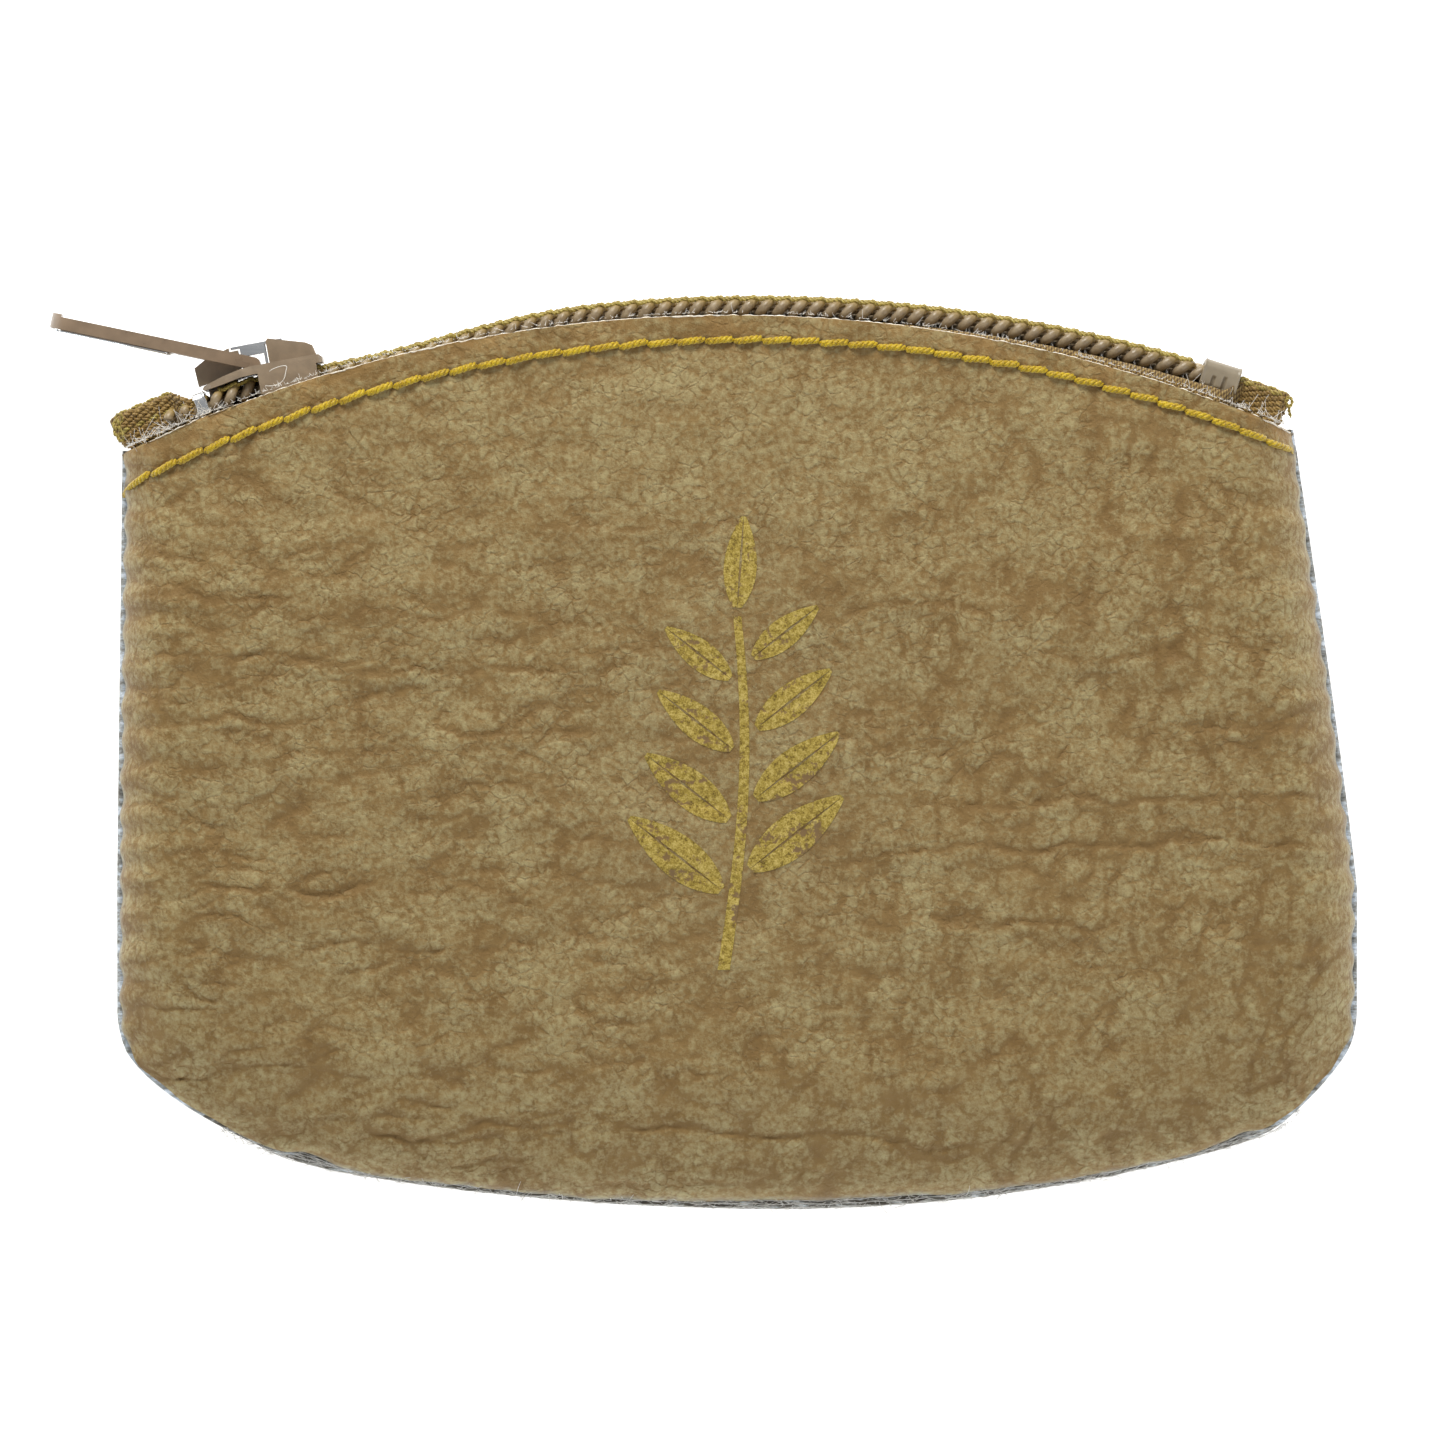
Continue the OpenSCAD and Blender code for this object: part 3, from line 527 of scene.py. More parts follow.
def turned_material(name, dark, mid, light, white):
    """The seam's turned edge: leather with white fibres laid along it, its pale bluish tones a painted
    reflection of the bright floor and its dark tones painted shade.
    """
    m = Nodes(name, 0.7, base=mid)
    along = m.noise(0.55, 5, 0.72, vector=m.mapping((0.22, 1.0, 1.0)))
    patch = m.noise(2.4, 3, 0.6)
    v = m.math("ADD", m.math("MULTIPLY", along, 0.75), m.math("MULTIPLY", patch, 0.25))
    m.colour(m.ramp(v, [(0.37, dark), (0.47, mid), (0.54, light), (0.61, white)]))
    m.bump(along, 0.12)
    m.shader.inputs["Sheen Weight"].default_value = 0.3
    return m.mat


def flesh_material():
    """The leather's pale inner face and cut edge."""
    m = Nodes("leather_flesh", 0.95, base=(0.62, 0.52, 0.40))
    n = m.noise(0.35, 4, 0.7)
    m.colour(m.ramp(n, [(0.3, (0.62, 0.48, 0.33)), (0.5, (0.92, 0.83, 0.69)), (0.65, (0.98, 0.95, 0.88))]))
    m.bump(n, 0.2)
    m.shader.inputs["Sheen Weight"].default_value = 0.4
    m.shader.inputs["Sheen Roughness"].default_value = 0.5
    return m.mat


def thread_material(name, dark, mid, light, size=0.16, rough=0.45):
    """Thread: fine fibres over a slower change of tone."""
    m = Nodes(name, rough, base=mid)
    fibres = m.noise(size, 3, 0.6)
    wide = m.noise(1.4, 2, 0.5)
    v = m.math("ADD", m.math("MULTIPLY", fibres, 0.7), m.math("MULTIPLY", wide, 0.3))
    m.colour(m.ramp(v, [(0.32, dark), (0.52, mid), (0.72, light)]))
    m.bump(fibres, 0.05)
    m.shader.inputs["Sheen Weight"].default_value = 0.35
    m.shader.inputs["Sheen Roughness"].default_value = 0.4
    return m.mat


def tape_material():
    """Woven tape: fine cross ribs over a twill."""
    m = Nodes("woven_tape", 0.8, base=(0.20, 0.12, 0.035))
    waves = []
    for turn, scale in ((0.0, 1300), (0.9, 900)):
        n = m.new("ShaderNodeTexWave")
        n.inputs["Scale"].default_value = scale
        n.inputs["Distortion"].default_value = 1.5
        n.inputs["Detail"].default_value = 2
        m.link(m.mapping((1, 1, 1), (0, 0, turn)), n.inputs["Vector"])
        waves.append(n.outputs["Fac"])
    v = m.math("MULTIPLY", m.math("ADD", waves[0], waves[1]), 0.5)
    v = m.math("ADD", m.math("MULTIPLY", v, 0.6), m.math("MULTIPLY", m.noise(0.5, 3, 0.6), 0.4))
    m.colour(m.ramp(v, [(0.25, (0.070, 0.036, 0.010)), (0.5, (0.185, 0.110, 0.032)),
                        (0.75, (0.36, 0.25, 0.09))]))
    m.bump(v, 0.12)
    return m.mat


def wire_material():
    """Coil wire: taupe, turning golden brown where the sewing threads shine through at the top."""
    m = Nodes("coil_wire", 0.34, base=(0.20, 0.148, 0.098))
    n = m.noise(0.9, 3, 0.6)
    body = m.mix(m.ranged(n, 0.35, 0.65), (0.225, 0.165, 0.098), (0.335, 0.262, 0.170))
    m.colour(m.mix(m.math("MULTIPLY", m.attribute("high"), 0.80), body, (0.34, 0.225, 0.060)))
    m.rough(m.ranged(n, 0.3, 0.7, 0.28, 0.42))
    m.bump(m.noise(0.2, 2, 0.5), 0.02)
    return m.mat


def paint_material(name, base, rough):
    """Satin paint, a little uneven in tone and gloss."""
    m = Nodes(name, rough, base=base)
    n = m.noise(1.6, 3, 0.55)
    fine = m.noise(0.12, 2, 0.5)
    dark = tuple(0.88 * c for c in base)
    light = tuple(min(1, 1.10 * c) for c in base)
    m.colour(m.mix(m.ranged(n, 0.35, 0.65), dark, light))
    m.rough(m.ranged(n, 0.3, 0.7, rough - 0.05, rough + 0.07))
    m.bump(fine, 0.006)
    m.shader.inputs["Coat Weight"].default_value = 0.25
    m.shader.inputs["Coat Roughness"].default_value = 0.22
    return m.mat


def metal_material(name, base, rough):
    """Bright plated metal, brushed along X."""
    m = Nodes(name, rough, base=base)
    m.shader.inputs["Metallic"].default_value = 1.0
    n = m.noise(0.5, 3, 0.6, vector=m.mapping((0.15, 1, 1)))
    m.rough(m.ranged(n, 0.3, 0.7, rough - 0.06, rough + 0.10))
    m.colour(m.mix(m.ranged(n, 0.3, 0.7), tuple(0.9 * c for c in base), base))
    m.bump(n, 0.01)
    return m.mat


def foil_material():
    """Gold foil, speckled by the grain below and worn through in the creases."""
    m = Nodes("gold_foil", 0.42, base=(0.33, 0.23, 0.05))
    small = m.noise(0.45, 4, 0.65)
    grain = m.noise(0.14, 2, 0.6)
    deep = m.attribute("crease")
    v = m.math("ADD", m.math("MULTIPLY", small, 0.6), m.math("MULTIPLY", grain, 0.4))
    gold = m.ramp(v, [(0.37, (0.16, 0.100, 0.015)), (0.49, (0.44, 0.310, 0.050)), (0.61, (0.68, 0.52, 0.15))])
    worn = m.ranged(m.math("ADD", m.noise(0.6, 4, 0.7), m.math("MULTIPLY", deep, 0.35)), 0.66, 0.76)
    m.colour(m.mix(worn, gold, (0.22, 0.13, 0.045)))
    m.rough(m.ranged(v, 0.35, 0.65, 0.55, 0.34))
    m.link(m.math("MULTIPLY", m.math("SUBTRACT", 1.0, worn), 0.35), m.shader.inputs["Metallic"])
    m.bump(v, 0.06)
    return m.mat


LEATHER = leather_material()
# the sides: pale fibres, and a pale bluish painted reflection of the bright floor on the rolled edge
TURNED = turned_material("turned_edge", (0.12, 0.11, 0.09), (0.36, 0.36, 0.34),
                         (0.60, 0.65, 0.70), (0.88, 0.93, 1.0))
# the bottom stretch: painted shade in the gap between the panels, with pale fibres
TURNED_LOW_SHADE = turned_material("turned_edge_low_shade", (0.030, 0.022, 0.014), (0.09, 0.072, 0.048),
                             (0.26, 0.25, 0.22), (0.80, 0.84, 0.86))
FLESH = flesh_material()
GOLD = thread_material("gold_thread", (0.22, 0.110, 0.001), (0.55, 0.365, 0.003), (0.84, 0.62, 0.012))
LIME = thread_material("coil_thread", (0.16, 0.100, 0.018), (0.40, 0.30, 0.060), (0.66, 0.58, 0.18))
WIRE = wire_material()
TAPE = thread_material("tape_yarn", (0.12, 0.066, 0.014), (0.32, 0.195, 0.050), (0.54, 0.39, 0.14), size=0.2)
WEAVE = tape_material()
TAN_THREAD = thread_material("seam_thread", (0.25, 0.17, 0.09), (0.42, 0.31, 0.18), (0.58, 0.46, 0.30))
FUZZ = thread_material("white_fibre", (0.62, 0.58, 0.52), (0.80, 0.77, 0.72), (0.95, 0.93, 0.90), rough=0.6)
PAINT = paint_material("slider_paint", (0.285, 0.213, 0.142), 0.36)
PULL_PAINT = paint_material("pull_paint", (0.262, 0.183, 0.118), 0.30)
STOP_PAINT = paint_material("stop_paint", (0.285, 0.235, 0.165), 0.32)
STEEL = metal_material("bare_metal", (0.80, 0.81, 0.82), 0.20)
FOIL = foil_material()

# ---------- leather panels ----------


def panel_surface(x0, y0, side, low=0.0, gap=0.0):
    """Height of a panel's outer face, and how far each place is from the sides and the bottom."""
    d_side = np.minimum(x0 - side_x(y0, -1), side_x(y0, 1) - x0) - gap
    d_low = y0 - bottom_y(x0) - low
    roll = FRONT_ROLL if side > 0 else BACK_ROLL
    full = quarter(d_side / SIDE_ROLL) * quarter(d_low / roll)
    seam = seam_z(y0) + side * SEAM_LIFT
    face = crown_z(x0, y0) if side > 0 else 0 * x0
    return lerp(seam, face, full), d_side, d_low


def drawn_in(u, v, side):
    """X and Y of a panel's places, and how far its low and side edges are drawn in: only the front's are."""
    if side < 0:
        return *plan(u, v), 0 * u, 0 * u
    low = low_edge(lerp(-HALF_W, HALF_W, u))
    _, y = plan(u, v, 0.0, low)
    gap = np.where(u < 0.5, side_gap(y, -1), side_gap(y, 1))
    return *plan(u, v, 0.0, low, gap), low, gap


def leather_panel(name, side, cols, rows, node):
    """A leather panel: its outer face, the cut edge at the mouth, the inner face and the turned seam."""
    t = np.linspace(0, 1, cols)
    u = lerp(t, (1 - np.cos(np.pi * t)) / 2, 0.45)
    s = np.linspace(0, 1, rows)
    v = lerp(s, 1 - np.cos(s * np.pi / 2), 0.35)
    U, V = np.meshgrid(u, v)
    x, y, low, gap = drawn_in(U, V, side)
    z, d_side, d_low = panel_surface(x, y, side, low, gap)
    d_top = mouth_y(x) - y
    near = np.maximum(np.minimum(d_side, d_low), 0)
    beat = seam_beat(x, y)
    rise, deep = relief(x, y) if side > 0 else relief(x + 150, y + 60)
    h = ease(near / 1.8) * (1 - 0.72 * np.exp(-((d_top / 3.0) ** 2))) * rise
    h = h - 0.12 * np.exp(-((near / 0.6) ** 2)) * beat * ease(near / 0.2) * (side > 0)
    seamline = stitch_line_distance(x, y)
    h = h - 0.09 * np.exp(-((seamline / 0.7) ** 2)) * ease(near / 0.8)
    if side > 0:
        z = z + h
    else:
        hollows = 0.25 * (0.45 - np.minimum(h, 0.45)) * ease(near / 3)
        z = np.maximum(z + hollows + 0.30 * np.exp(-((seamline / 0.5) ** 2)), 0.02)
    # rows past the face: the cut edge at the mouth, then the inner face down to the turned seam
    fuzz = 0.05 * perlin(x[-1] / 0.7, 0 * x[-1], 71) + 0.03 * perlin(x[-1] / 0.25, 0 * x[-1], 72)
    y[-1] = y[-1] - 0.33 + fuzz * 0.8
    rim_x, rim_y, rim_z = x[-1], y[-1], z[-1]
    places = [np.stack([x, y, z], -1)]
    for rise, uneven, below in ((-0.14, 1.0, 0.04), (0.05, 1.4, 0.30),
                                (0.03, 1.0, 0.85), (-0.10, 0.0, LEATHER_T)):
        places.append(np.stack([rim_x, rim_y + rise + uneven * fuzz, rim_z - side * below], -1)[None])
    for vi in (0.97, 0.92, 0.84, 0.72, 0.58, 0.44, 0.30, 0.18, 0.10, 0.05, 0.0):
        outer_z, _, _ = panel_surface(*plan(u, vi), side)
        places.append(np.stack([*plan(u, vi, LEATHER_T + 0.05), outer_z - side * LEATHER_T], -1)[None])
    verts = np.concatenate(places)
    all_rows = len(verts)
    index = np.repeat(np.where(np.arange(all_rows - 1) < rows - 1, 0, 1), cols - 1)
    # painted shade in the needle holes, where the thread goes in
    hole_x, hole_y = stitch_place(np.arange(stitch_count + 1))
    hole = np.zeros_like(x)
    band = np.abs(seamline) < 1.0
    dist = np.min(np.hypot(x[band][:, None] - hole_x[None], y[band][:, None] - hole_y[None]), axis=1)
    hole[band] = 0.95 * clamp(1.25 - dist / 0.46)
    mouth = clamp(np.exp(-((d_top / 2.3) ** 2)) * (0.45 + 0.75 * fbm(x / 5, y / 3, 81, 2)))
    # where the painted reflection of the bright floor lies, along the rolled side and bottom edges
    edge = np.exp(-((near / 0.26) ** 2)) * ease(d_top / 2)
    inner = np.zeros((all_rows - rows, cols))
    # crease carries how deep in a crease each place lies, for the painted shade in the creases
    attributes = {key: np.concatenate([a, inner]).ravel()
                  for key, a in (("crease", deep), ("edge", edge), ("mouth", mouth), ("hole", hole))}
    ob = mesh_object(name, verts.reshape(-1, 3), grid_faces(all_rows, cols, flip=side < 0), "root",
                     [LEATHER, FLESH], index=index, attributes=attributes)
    turned_seam(name + "_turned_seam", side)
    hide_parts(node)
    return x, y, z


def turned_seam(name, side):
    """The seam's turned edge: strips from the panel's outer face inwards, round the sides and bottom."""
    down, across = 120, 400
    u = np.concatenate([np.zeros(down), np.linspace(0, 1, across), np.ones(down)])
    v = np.concatenate([np.linspace(1, 0, down), np.zeros(across), np.linspace(0, 1, down)])
    _, _, low, gap = drawn_in(u, v, side)
    x, y = plan(u, v, 0.0, low)
    strips = []
    for inset, lift in ((0.0, SEAM_LIFT), (0.06, 0.16), (0.30, 0.05), (0.9, 0.03), (3.9, 0.02)):
        z = seam_z(y) + side * (lift + 0.05 * seam_beat(x, y))
        strips.append(np.stack([*plan(u, v, inset, low, gap), z], -1))
    # faces of the bottom stretch, short of its corners, take the darker material: painted shade in the gap
    # between the panels
    from_middle = np.abs(np.arange(len(u) - 1) - len(u) // 2)
    index = np.tile(np.where(from_middle < across / 2 - 25, 1, 0), len(strips) - 1)
    return mesh_object(name, np.array(strips).reshape(-1, 3), grid_faces(len(strips), len(u), flip=side > 0),
                       "root", [TURNED, TURNED_LOW_SHADE], index=index)


# ---------- stitches ----------


def stitch_angle(x):
    return math.asin((x - STITCH_C[0]) / STITCH_R)


first, last = stitch_angle(LEFT_X + 0.5), stitch_angle(RIGHT_X - 0.3)
stitch_count = int((last - first) * STITCH_R / STITCH_PITCH)


def stitch_place(k, out=0.0):
    a = first + (last - first) / stitch_count * k
    return STITCH_C[0] + (STITCH_R + out) * np.sin(a), STITCH_C[1] + (STITCH_R + out) * np.cos(a)


front_face = leather_panel("front_leather", 1, 384, 244, "front_panel")
leather_panel("back_leather", -1, 260, 180, "back_panel")


def surface_z(x, y):
    """Height of the front leather's face, from its nearest grid points."""
    gx, gy, gz = front_face
    rows, cols = gx.shape
    x, y = np.atleast_1d(x), np.atleast_1d(y)
    out = np.zeros(len(x))
    for n, (px, py) in enumerate(zip(x, y)):
        i, j = rows // 2, cols // 2
        for _ in range(6):
            j = int(np.clip(np.searchsorted(gx[i], px), 1, cols - 1))
            i = int(np.clip(np.searchsorted(gy[:, j], py), 1, rows - 1))
        a = (px - gx[i, j - 1]) / (gx[i, j] - gx[i, j - 1] + 1e-9)
        b = (py - gy[i - 1, j]) / (gy[i, j] - gy[i - 1, j] + 1e-9)
        a, b = min(1, max(0, a)), min(1, max(0, b))
        out[n] = lerp(lerp(gz[i - 1, j - 1], gz[i - 1, j], a), lerp(gz[i, j - 1], gz[i, j], a), b)
    return out


def mouth_stitches(name, side, node):
    """One row of the mouth's stitches: arches of three-ply thread, each a little different."""
    tubes = Tubes()
    n = 26
    t = np.linspace(0, 1, n)
    for k in range(stitch_count):
        wob = rng.normal(0, 0.035, 4)
        slant = 0.15 + wob[0]
        x, y = stitch_place(k - 0.01 + 1.02 * t)
        ox, oy = stitch_place(k + t, out=1.0)
        bx, by = stitch_place(k + t)
        side_off = slant * (1 - 2 * t) * -1 + wob[1] * 0.5
        x, y = x + (ox - bx) * side_off, y + (oy - by) * side_off
        arch = 1 - np.abs(2 * t - 1) ** 4
        if side > 0:
            base = surface_z(x, y)
            z = np.interp(t, [0, 0.12, 0.5, 0.88, 1], np.interp([0, 0.12, 0.5, 0.88, 1], t, base))
            z = z - 0.48 + (0.74 + 0.7 * wob[2]) * arch
        else:
            z = 0.40 - (0.16 + wob[2] * 0.3) * arch
            z = np.maximum(z, 0.22)
        tubes.twisted(np.stack([x, y, z], -1), 3, 0.165, 0.160, 1.45, sides=8,
                      phase=rng.rand() * 6.28, taper=0.5, hand=-side)
    ob = tubes.make(name, "root", GOLD)
    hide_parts(node)


mouth_stitches("front_mouth_stitches", 1, "front_needle_thread")
mouth_stitches("back_mouth_stitches", -1, "back_needle_thread")

# the thread's loose tails at both ends, wrapped round to the sides
tail = Tubes()
t = np.linspace(0, 1, 18)
for k, start, run, curve, fall, high, low in ((0, 0.15, -0.75, 0.25, 0.75, 2.6, -0.4),
                                              (stitch_count, -0.1, 0.55, -0.15, 0.35, 2.8, -0.2)):
    x0, y0 = stitch_place(k)
    tail.twisted(np.stack([x0 + start + run * t + curve * t * t, y0 - 0.05 - fall * t,
                           lerp(seam_z(y0) + high, seam_z(y0) + low, t)], -1), 3, 0.12, 0.12, 1.2,
                 sides=7, taper=0.3)
tail.make("stitch_tails", "root", GOLD)

# ---------- foil leaf sprig ----------


def leaf_sprig():
    """A plain sprig of leaves, stamped in foil on the front leather."""
    base, stem_w, leaf_w, sprig_h, leaf_len = np.array([-1.2, -18.6]), 1.1, 0.34, 39.0, 11.0

    def stem_point(t):
        return base + np.array([1.6 * math.sin(math.radians(150 * t)) + 0.4 * t,
                                (sprig_h - leaf_len * 0.7) * t])

    verts, faces, count = [], [], 0

    def blade(centre, half, across):
        nonlocal count
        n, m = len(centre), 9
        w = np.linspace(-1, 1, m)
        rag = 1 + 0.05 * perlin(np.arange(n) * 0.9, np.zeros(n), 90 + count % 50)
        p = centre[:, None, :] + (half * rag)[:, None, None] * w[None, :, None] * across[:, None, :]
        verts.append(p.reshape(-1, 2))
        faces.append(grid_faces(n, m, count))
        count += n * m

    t = np.linspace(0, 1, 90)
    c = np.array([stem_point(a) for a in t])
    blade(c, np.full(90, stem_w / 2) * (1 - 0.35 * t), np.tile([1.0, 0.0], (90, 1)))

    def leaf(start, angle, length):
        a = math.radians(angle)
        d, across = np.array([math.cos(a), math.sin(a)]), np.array([-math.sin(a), math.cos(a)])
        k = np.linspace(0.03, 0.97, 46)
        half = length * leaf_w / 2 * np.sin(np.pi * k**0.85) ** 0.8
        for s in (-1, 1):
            gap = 0.10 * np.sin(np.pi * k)
            centre = start + d * (length * k)[:, None] + across * (s * (half + gap) / 2)[:, None]
            blade(centre, np.maximum((half - gap) / 2, 0.02), np.tile(across, (46, 1)))

    leaf(stem_point(1) + np.array([0, 0.5]), 86, leaf_len * 0.78)
    for k in range(4):
        for s in (-1, 1):
            at = 0.22 + 0.2 * k + (0.06 if s > 0 else 0)
            leaf(stem_point(at) + np.array([s * 0.9, 0]), 90 - s * 52, leaf_len * (1 - 0.1 * k))
    p = np.concatenate(verts)
    z = surface_z(p[:, 0], p[:, 1]) + 0.045
    _, deep = relief(p[:, 0], p[:, 1])
    ob = mesh_object("leaf_sprig_foil", np.column_stack([p, z]), np.concatenate(faces), "root", [FOIL],
                     attributes={"crease": deep})
    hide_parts("foil_motif")


leaf_sprig()

# ---------- zip chain ----------


def chain_angle(x):
    return np.degrees(np.arcsin((x - CHAIN_C[0]) / CHAIN_R))


def past_slider(angle):
    """How far along the chain a place is to the right of the slider, in mm."""
    return (angle + CLOSED) * CHAIN_R * np.pi / 180


def parting(a):
    """How far each side of the chain is spread at the slider's neck and to its left."""
    return 1.5 * ease((0.3 - a) / 3.9)


def beside(angle, side, q, h):
    """Places beside the chain: q across from its centre, h out from its centre line."""
    a = past_slider(angle)
    slope = math.tan(math.radians(8))
    w = np.pi * clamp(a / 34)
    dip = np.where(a < 0, slope * a * np.exp(np.minimum(a, 0) / 2.5),
                   slope * 34 / np.pi * np.sin(w) * (1 + np.cos(w)) / 2)
    r = CHAIN_R - dip + h
    rad = np.radians(angle)
    return np.stack([CHAIN_C[0] + r * np.sin(rad), CHAIN_C[1] + r * np.cos(rad),
                     HALF_T + side * (q + parting(a)) + 0 * r], -1)


COIL_MID_H, COIL_MID_Q = 0.16, 1.25
TURN = math.degrees(COIL_PITCH / CHAIN_R)
START_A, END_A = chain_angle(-50.3), chain_angle(43.6)
TURNS = int((END_A - START_A) / TURN)


def coil(name, side, node):
    """One side's coil, wound from a single wire that is thickest at its heel, away from the other coil."""
    steps = 30
    n = np.arange(TURNS * steps)
    f = n / steps
    w = 2 * np.pi * f
    # most of the advance is at the heel, so its turns lean along the chain
    angle = START_A + (f + 0.235 * np.sin(w) + (0 if side > 0 else 0.5)) * TURN
    c, s = np.cos(w), np.sin(w)
    rq, rh = (COIL_W - COIL_WIRE) / 2, (COIL_H - COIL_WIRE) / 2
    q = COIL_MID_Q + rq * np.sign(c) * np.abs(c) ** 0.62
    h = COIL_MID_H + rh * np.sign(s) * np.abs(s) ** 0.85
    radius = 0.31 + 0.135 * clamp(c) ** 1.2 + 0.03 * clamp(-c) ** 4
    tubes = Tubes()
    tubes.add(beside(angle, side, q, h), radius, sides=12)
    high = np.repeat(ease((h - COIL_MID_H - 0.05) / 0.5), 12)
    ob = tubes.make(name, "root", WIRE, attributes={"high": high})
    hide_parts(node)


coil("front_coil_wire", 1, "front_coil")
coil("back_coil_wire", -1, "back_coil")


def coil_threads(name, side, node):
    """The two thread rows that sew a coil to its tape, sunk between the turns."""
    tubes = Tubes()
    a0, a1 = chain_angle(-45.6), chain_angle(40.6)
    count = int((a1 - a0) / TURN)
    phase = ((a0 - START_A) / TURN + (0 if side > 0 else 0.5)) % 1.0
    k = np.linspace(0, count, count * 20)
    angle = a0 + k * TURN
    beat = 2 * np.pi * (k + phase)
    top = COIL_MID_H + COIL_H / 2
    for q, rise in ((2.62, -0.16), (1.35, -0.02)):
        path = beside(angle + 0.10 * TURN * np.sin(beat), side, q + 0.07 * np.sin(beat + 1),
                      top + rise + 0.085 * np.cos(beat - 1.9))
        tubes.twisted(path, 2, 0.095, 0.085, 0.75)
    ob = tubes.make(name, "root", LIME)
    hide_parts(node)


coil_threads("front_coil_threads", 1, "front_coil_stitching")
coil_threads("back_coil_threads", -1, "back_coil_stitching")

# ---------- tapes ----------

RAIL_Q, TAPE_T, TAPE_DEPTH = 5.5, 0.5, 10.0
STRAIGHT = (LEFT_X + 6.15, RIGHT_X - 6.25)
GATHERED = (LEFT_X + 4.85, RIGHT_X - 4.35)
TAPE_END = (LEFT_X - 0.15, RIGHT_X - 0.45)
SECTION = np.array([[0.25, -0.8], [RAIL_Q - 0.15, -0.8], [RAIL_Q, -1.0], [RAIL_Q, -0.8 - TAPE_DEPTH],
                    [RAIL_Q - TAPE_T, -0.8 - TAPE_DEPTH], [RAIL_Q - TAPE_T, -1.3], [0.25, -1.3]])
LEFT_SECTION = np.array([[0.1, 2.4], [2.5, 2.4], [2.7, 2.2], [2.7, 0.45],
                         [1.9, 0.35], [1.0, 0.35], [0.1, 0.45]])
RIGHT_SECTION = np.array([[0.1, 0.9], [2.2, 0.9], [2.4, 0.7], [2.4, -0.95],
                          [1.7, -1.05], [0.9, -1.05], [0.1, -0.95]])


def resample(points, n):
    """n evenly spaced points round a closed outline."""
    closed = np.vstack([points, points[:1]])
    d = np.concatenate([[0], np.cumsum(np.linalg.norm(np.diff(closed, axis=0), axis=1))])
    t = np.linspace(0, d[-1], n, endpoint=False)
    return np.stack([np.interp(t, d, closed[:, 0]), np.interp(t, d, closed[:, 1])], -1)


def left_gather(x):
    """0 where the tape is straight, 1 at its gathered left end."""
    return ease((STRAIGHT[0] - x) / (STRAIGHT[0] - GATHERED[0]))


def tape_place(x, side, points):
    """Places of a tape's section at x. Only the edge beside the coil parts with it at the slider."""
    angle = chain_angle(x)
    web_end = np.where(points[:, 0] > RAIL_Q - TAPE_T - 1, 0, 1 - left_gather(x))
    drawn_back = parting(past_slider(angle)) * (1 - web_end)
    return beside(np.full(len(points), angle), side, points[:, 0] - drawn_back, points[:, 1])


def tape(name, side, node):
    """A tape: one section swept along the chain, gathered into a bundle at each end."""
    corners = 56
    xs = np.arange(TAPE_END[0], TAPE_END[1], 0.22)
    plain, left_end, right_end = (resample(s, corners) for s in (SECTION, LEFT_SECTION, RIGHT_SECTION))
    # the three sections start at matching corners
    rings = []
    for x in xs:
        right = ease((x - STRAIGHT[1]) / (GATHERED[1] - STRAIGHT[1]))
        p = lerp(lerp(plain, left_end, left_gather(x)), right_end, right)
        end = min(1, (x - TAPE_END[0]) / 0.5, (TAPE_END[1] - x) / 0.6)
        centre = p.mean(0)
        p = centre + (p - centre) * (0.75 + 0.25 * max(0, end) ** 0.5)
        p = p + 0.05 * np.stack([np.sin(9 * p[:, 1] + 3 * x), np.cos(8 * p[:, 0] + 2.6 * x)], -1)
        rings.append(tape_place(x, side, p))
    verts = np.concatenate(rings)
    faces = grid_faces(len(rings), corners, closed=True, flip=side > 0)
    fan = np.array([[0, k, k + 1] for k in range(1, corners - 1)])
    ob = mesh_object(name, verts, [faces, fan, fan + (len(rings) - 1) * corners], "root", [WEAVE])
    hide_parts(node)


tape("front_tape", 1, "front_zip_tape")
tape("back_tape", -1, "back_zip_tape")


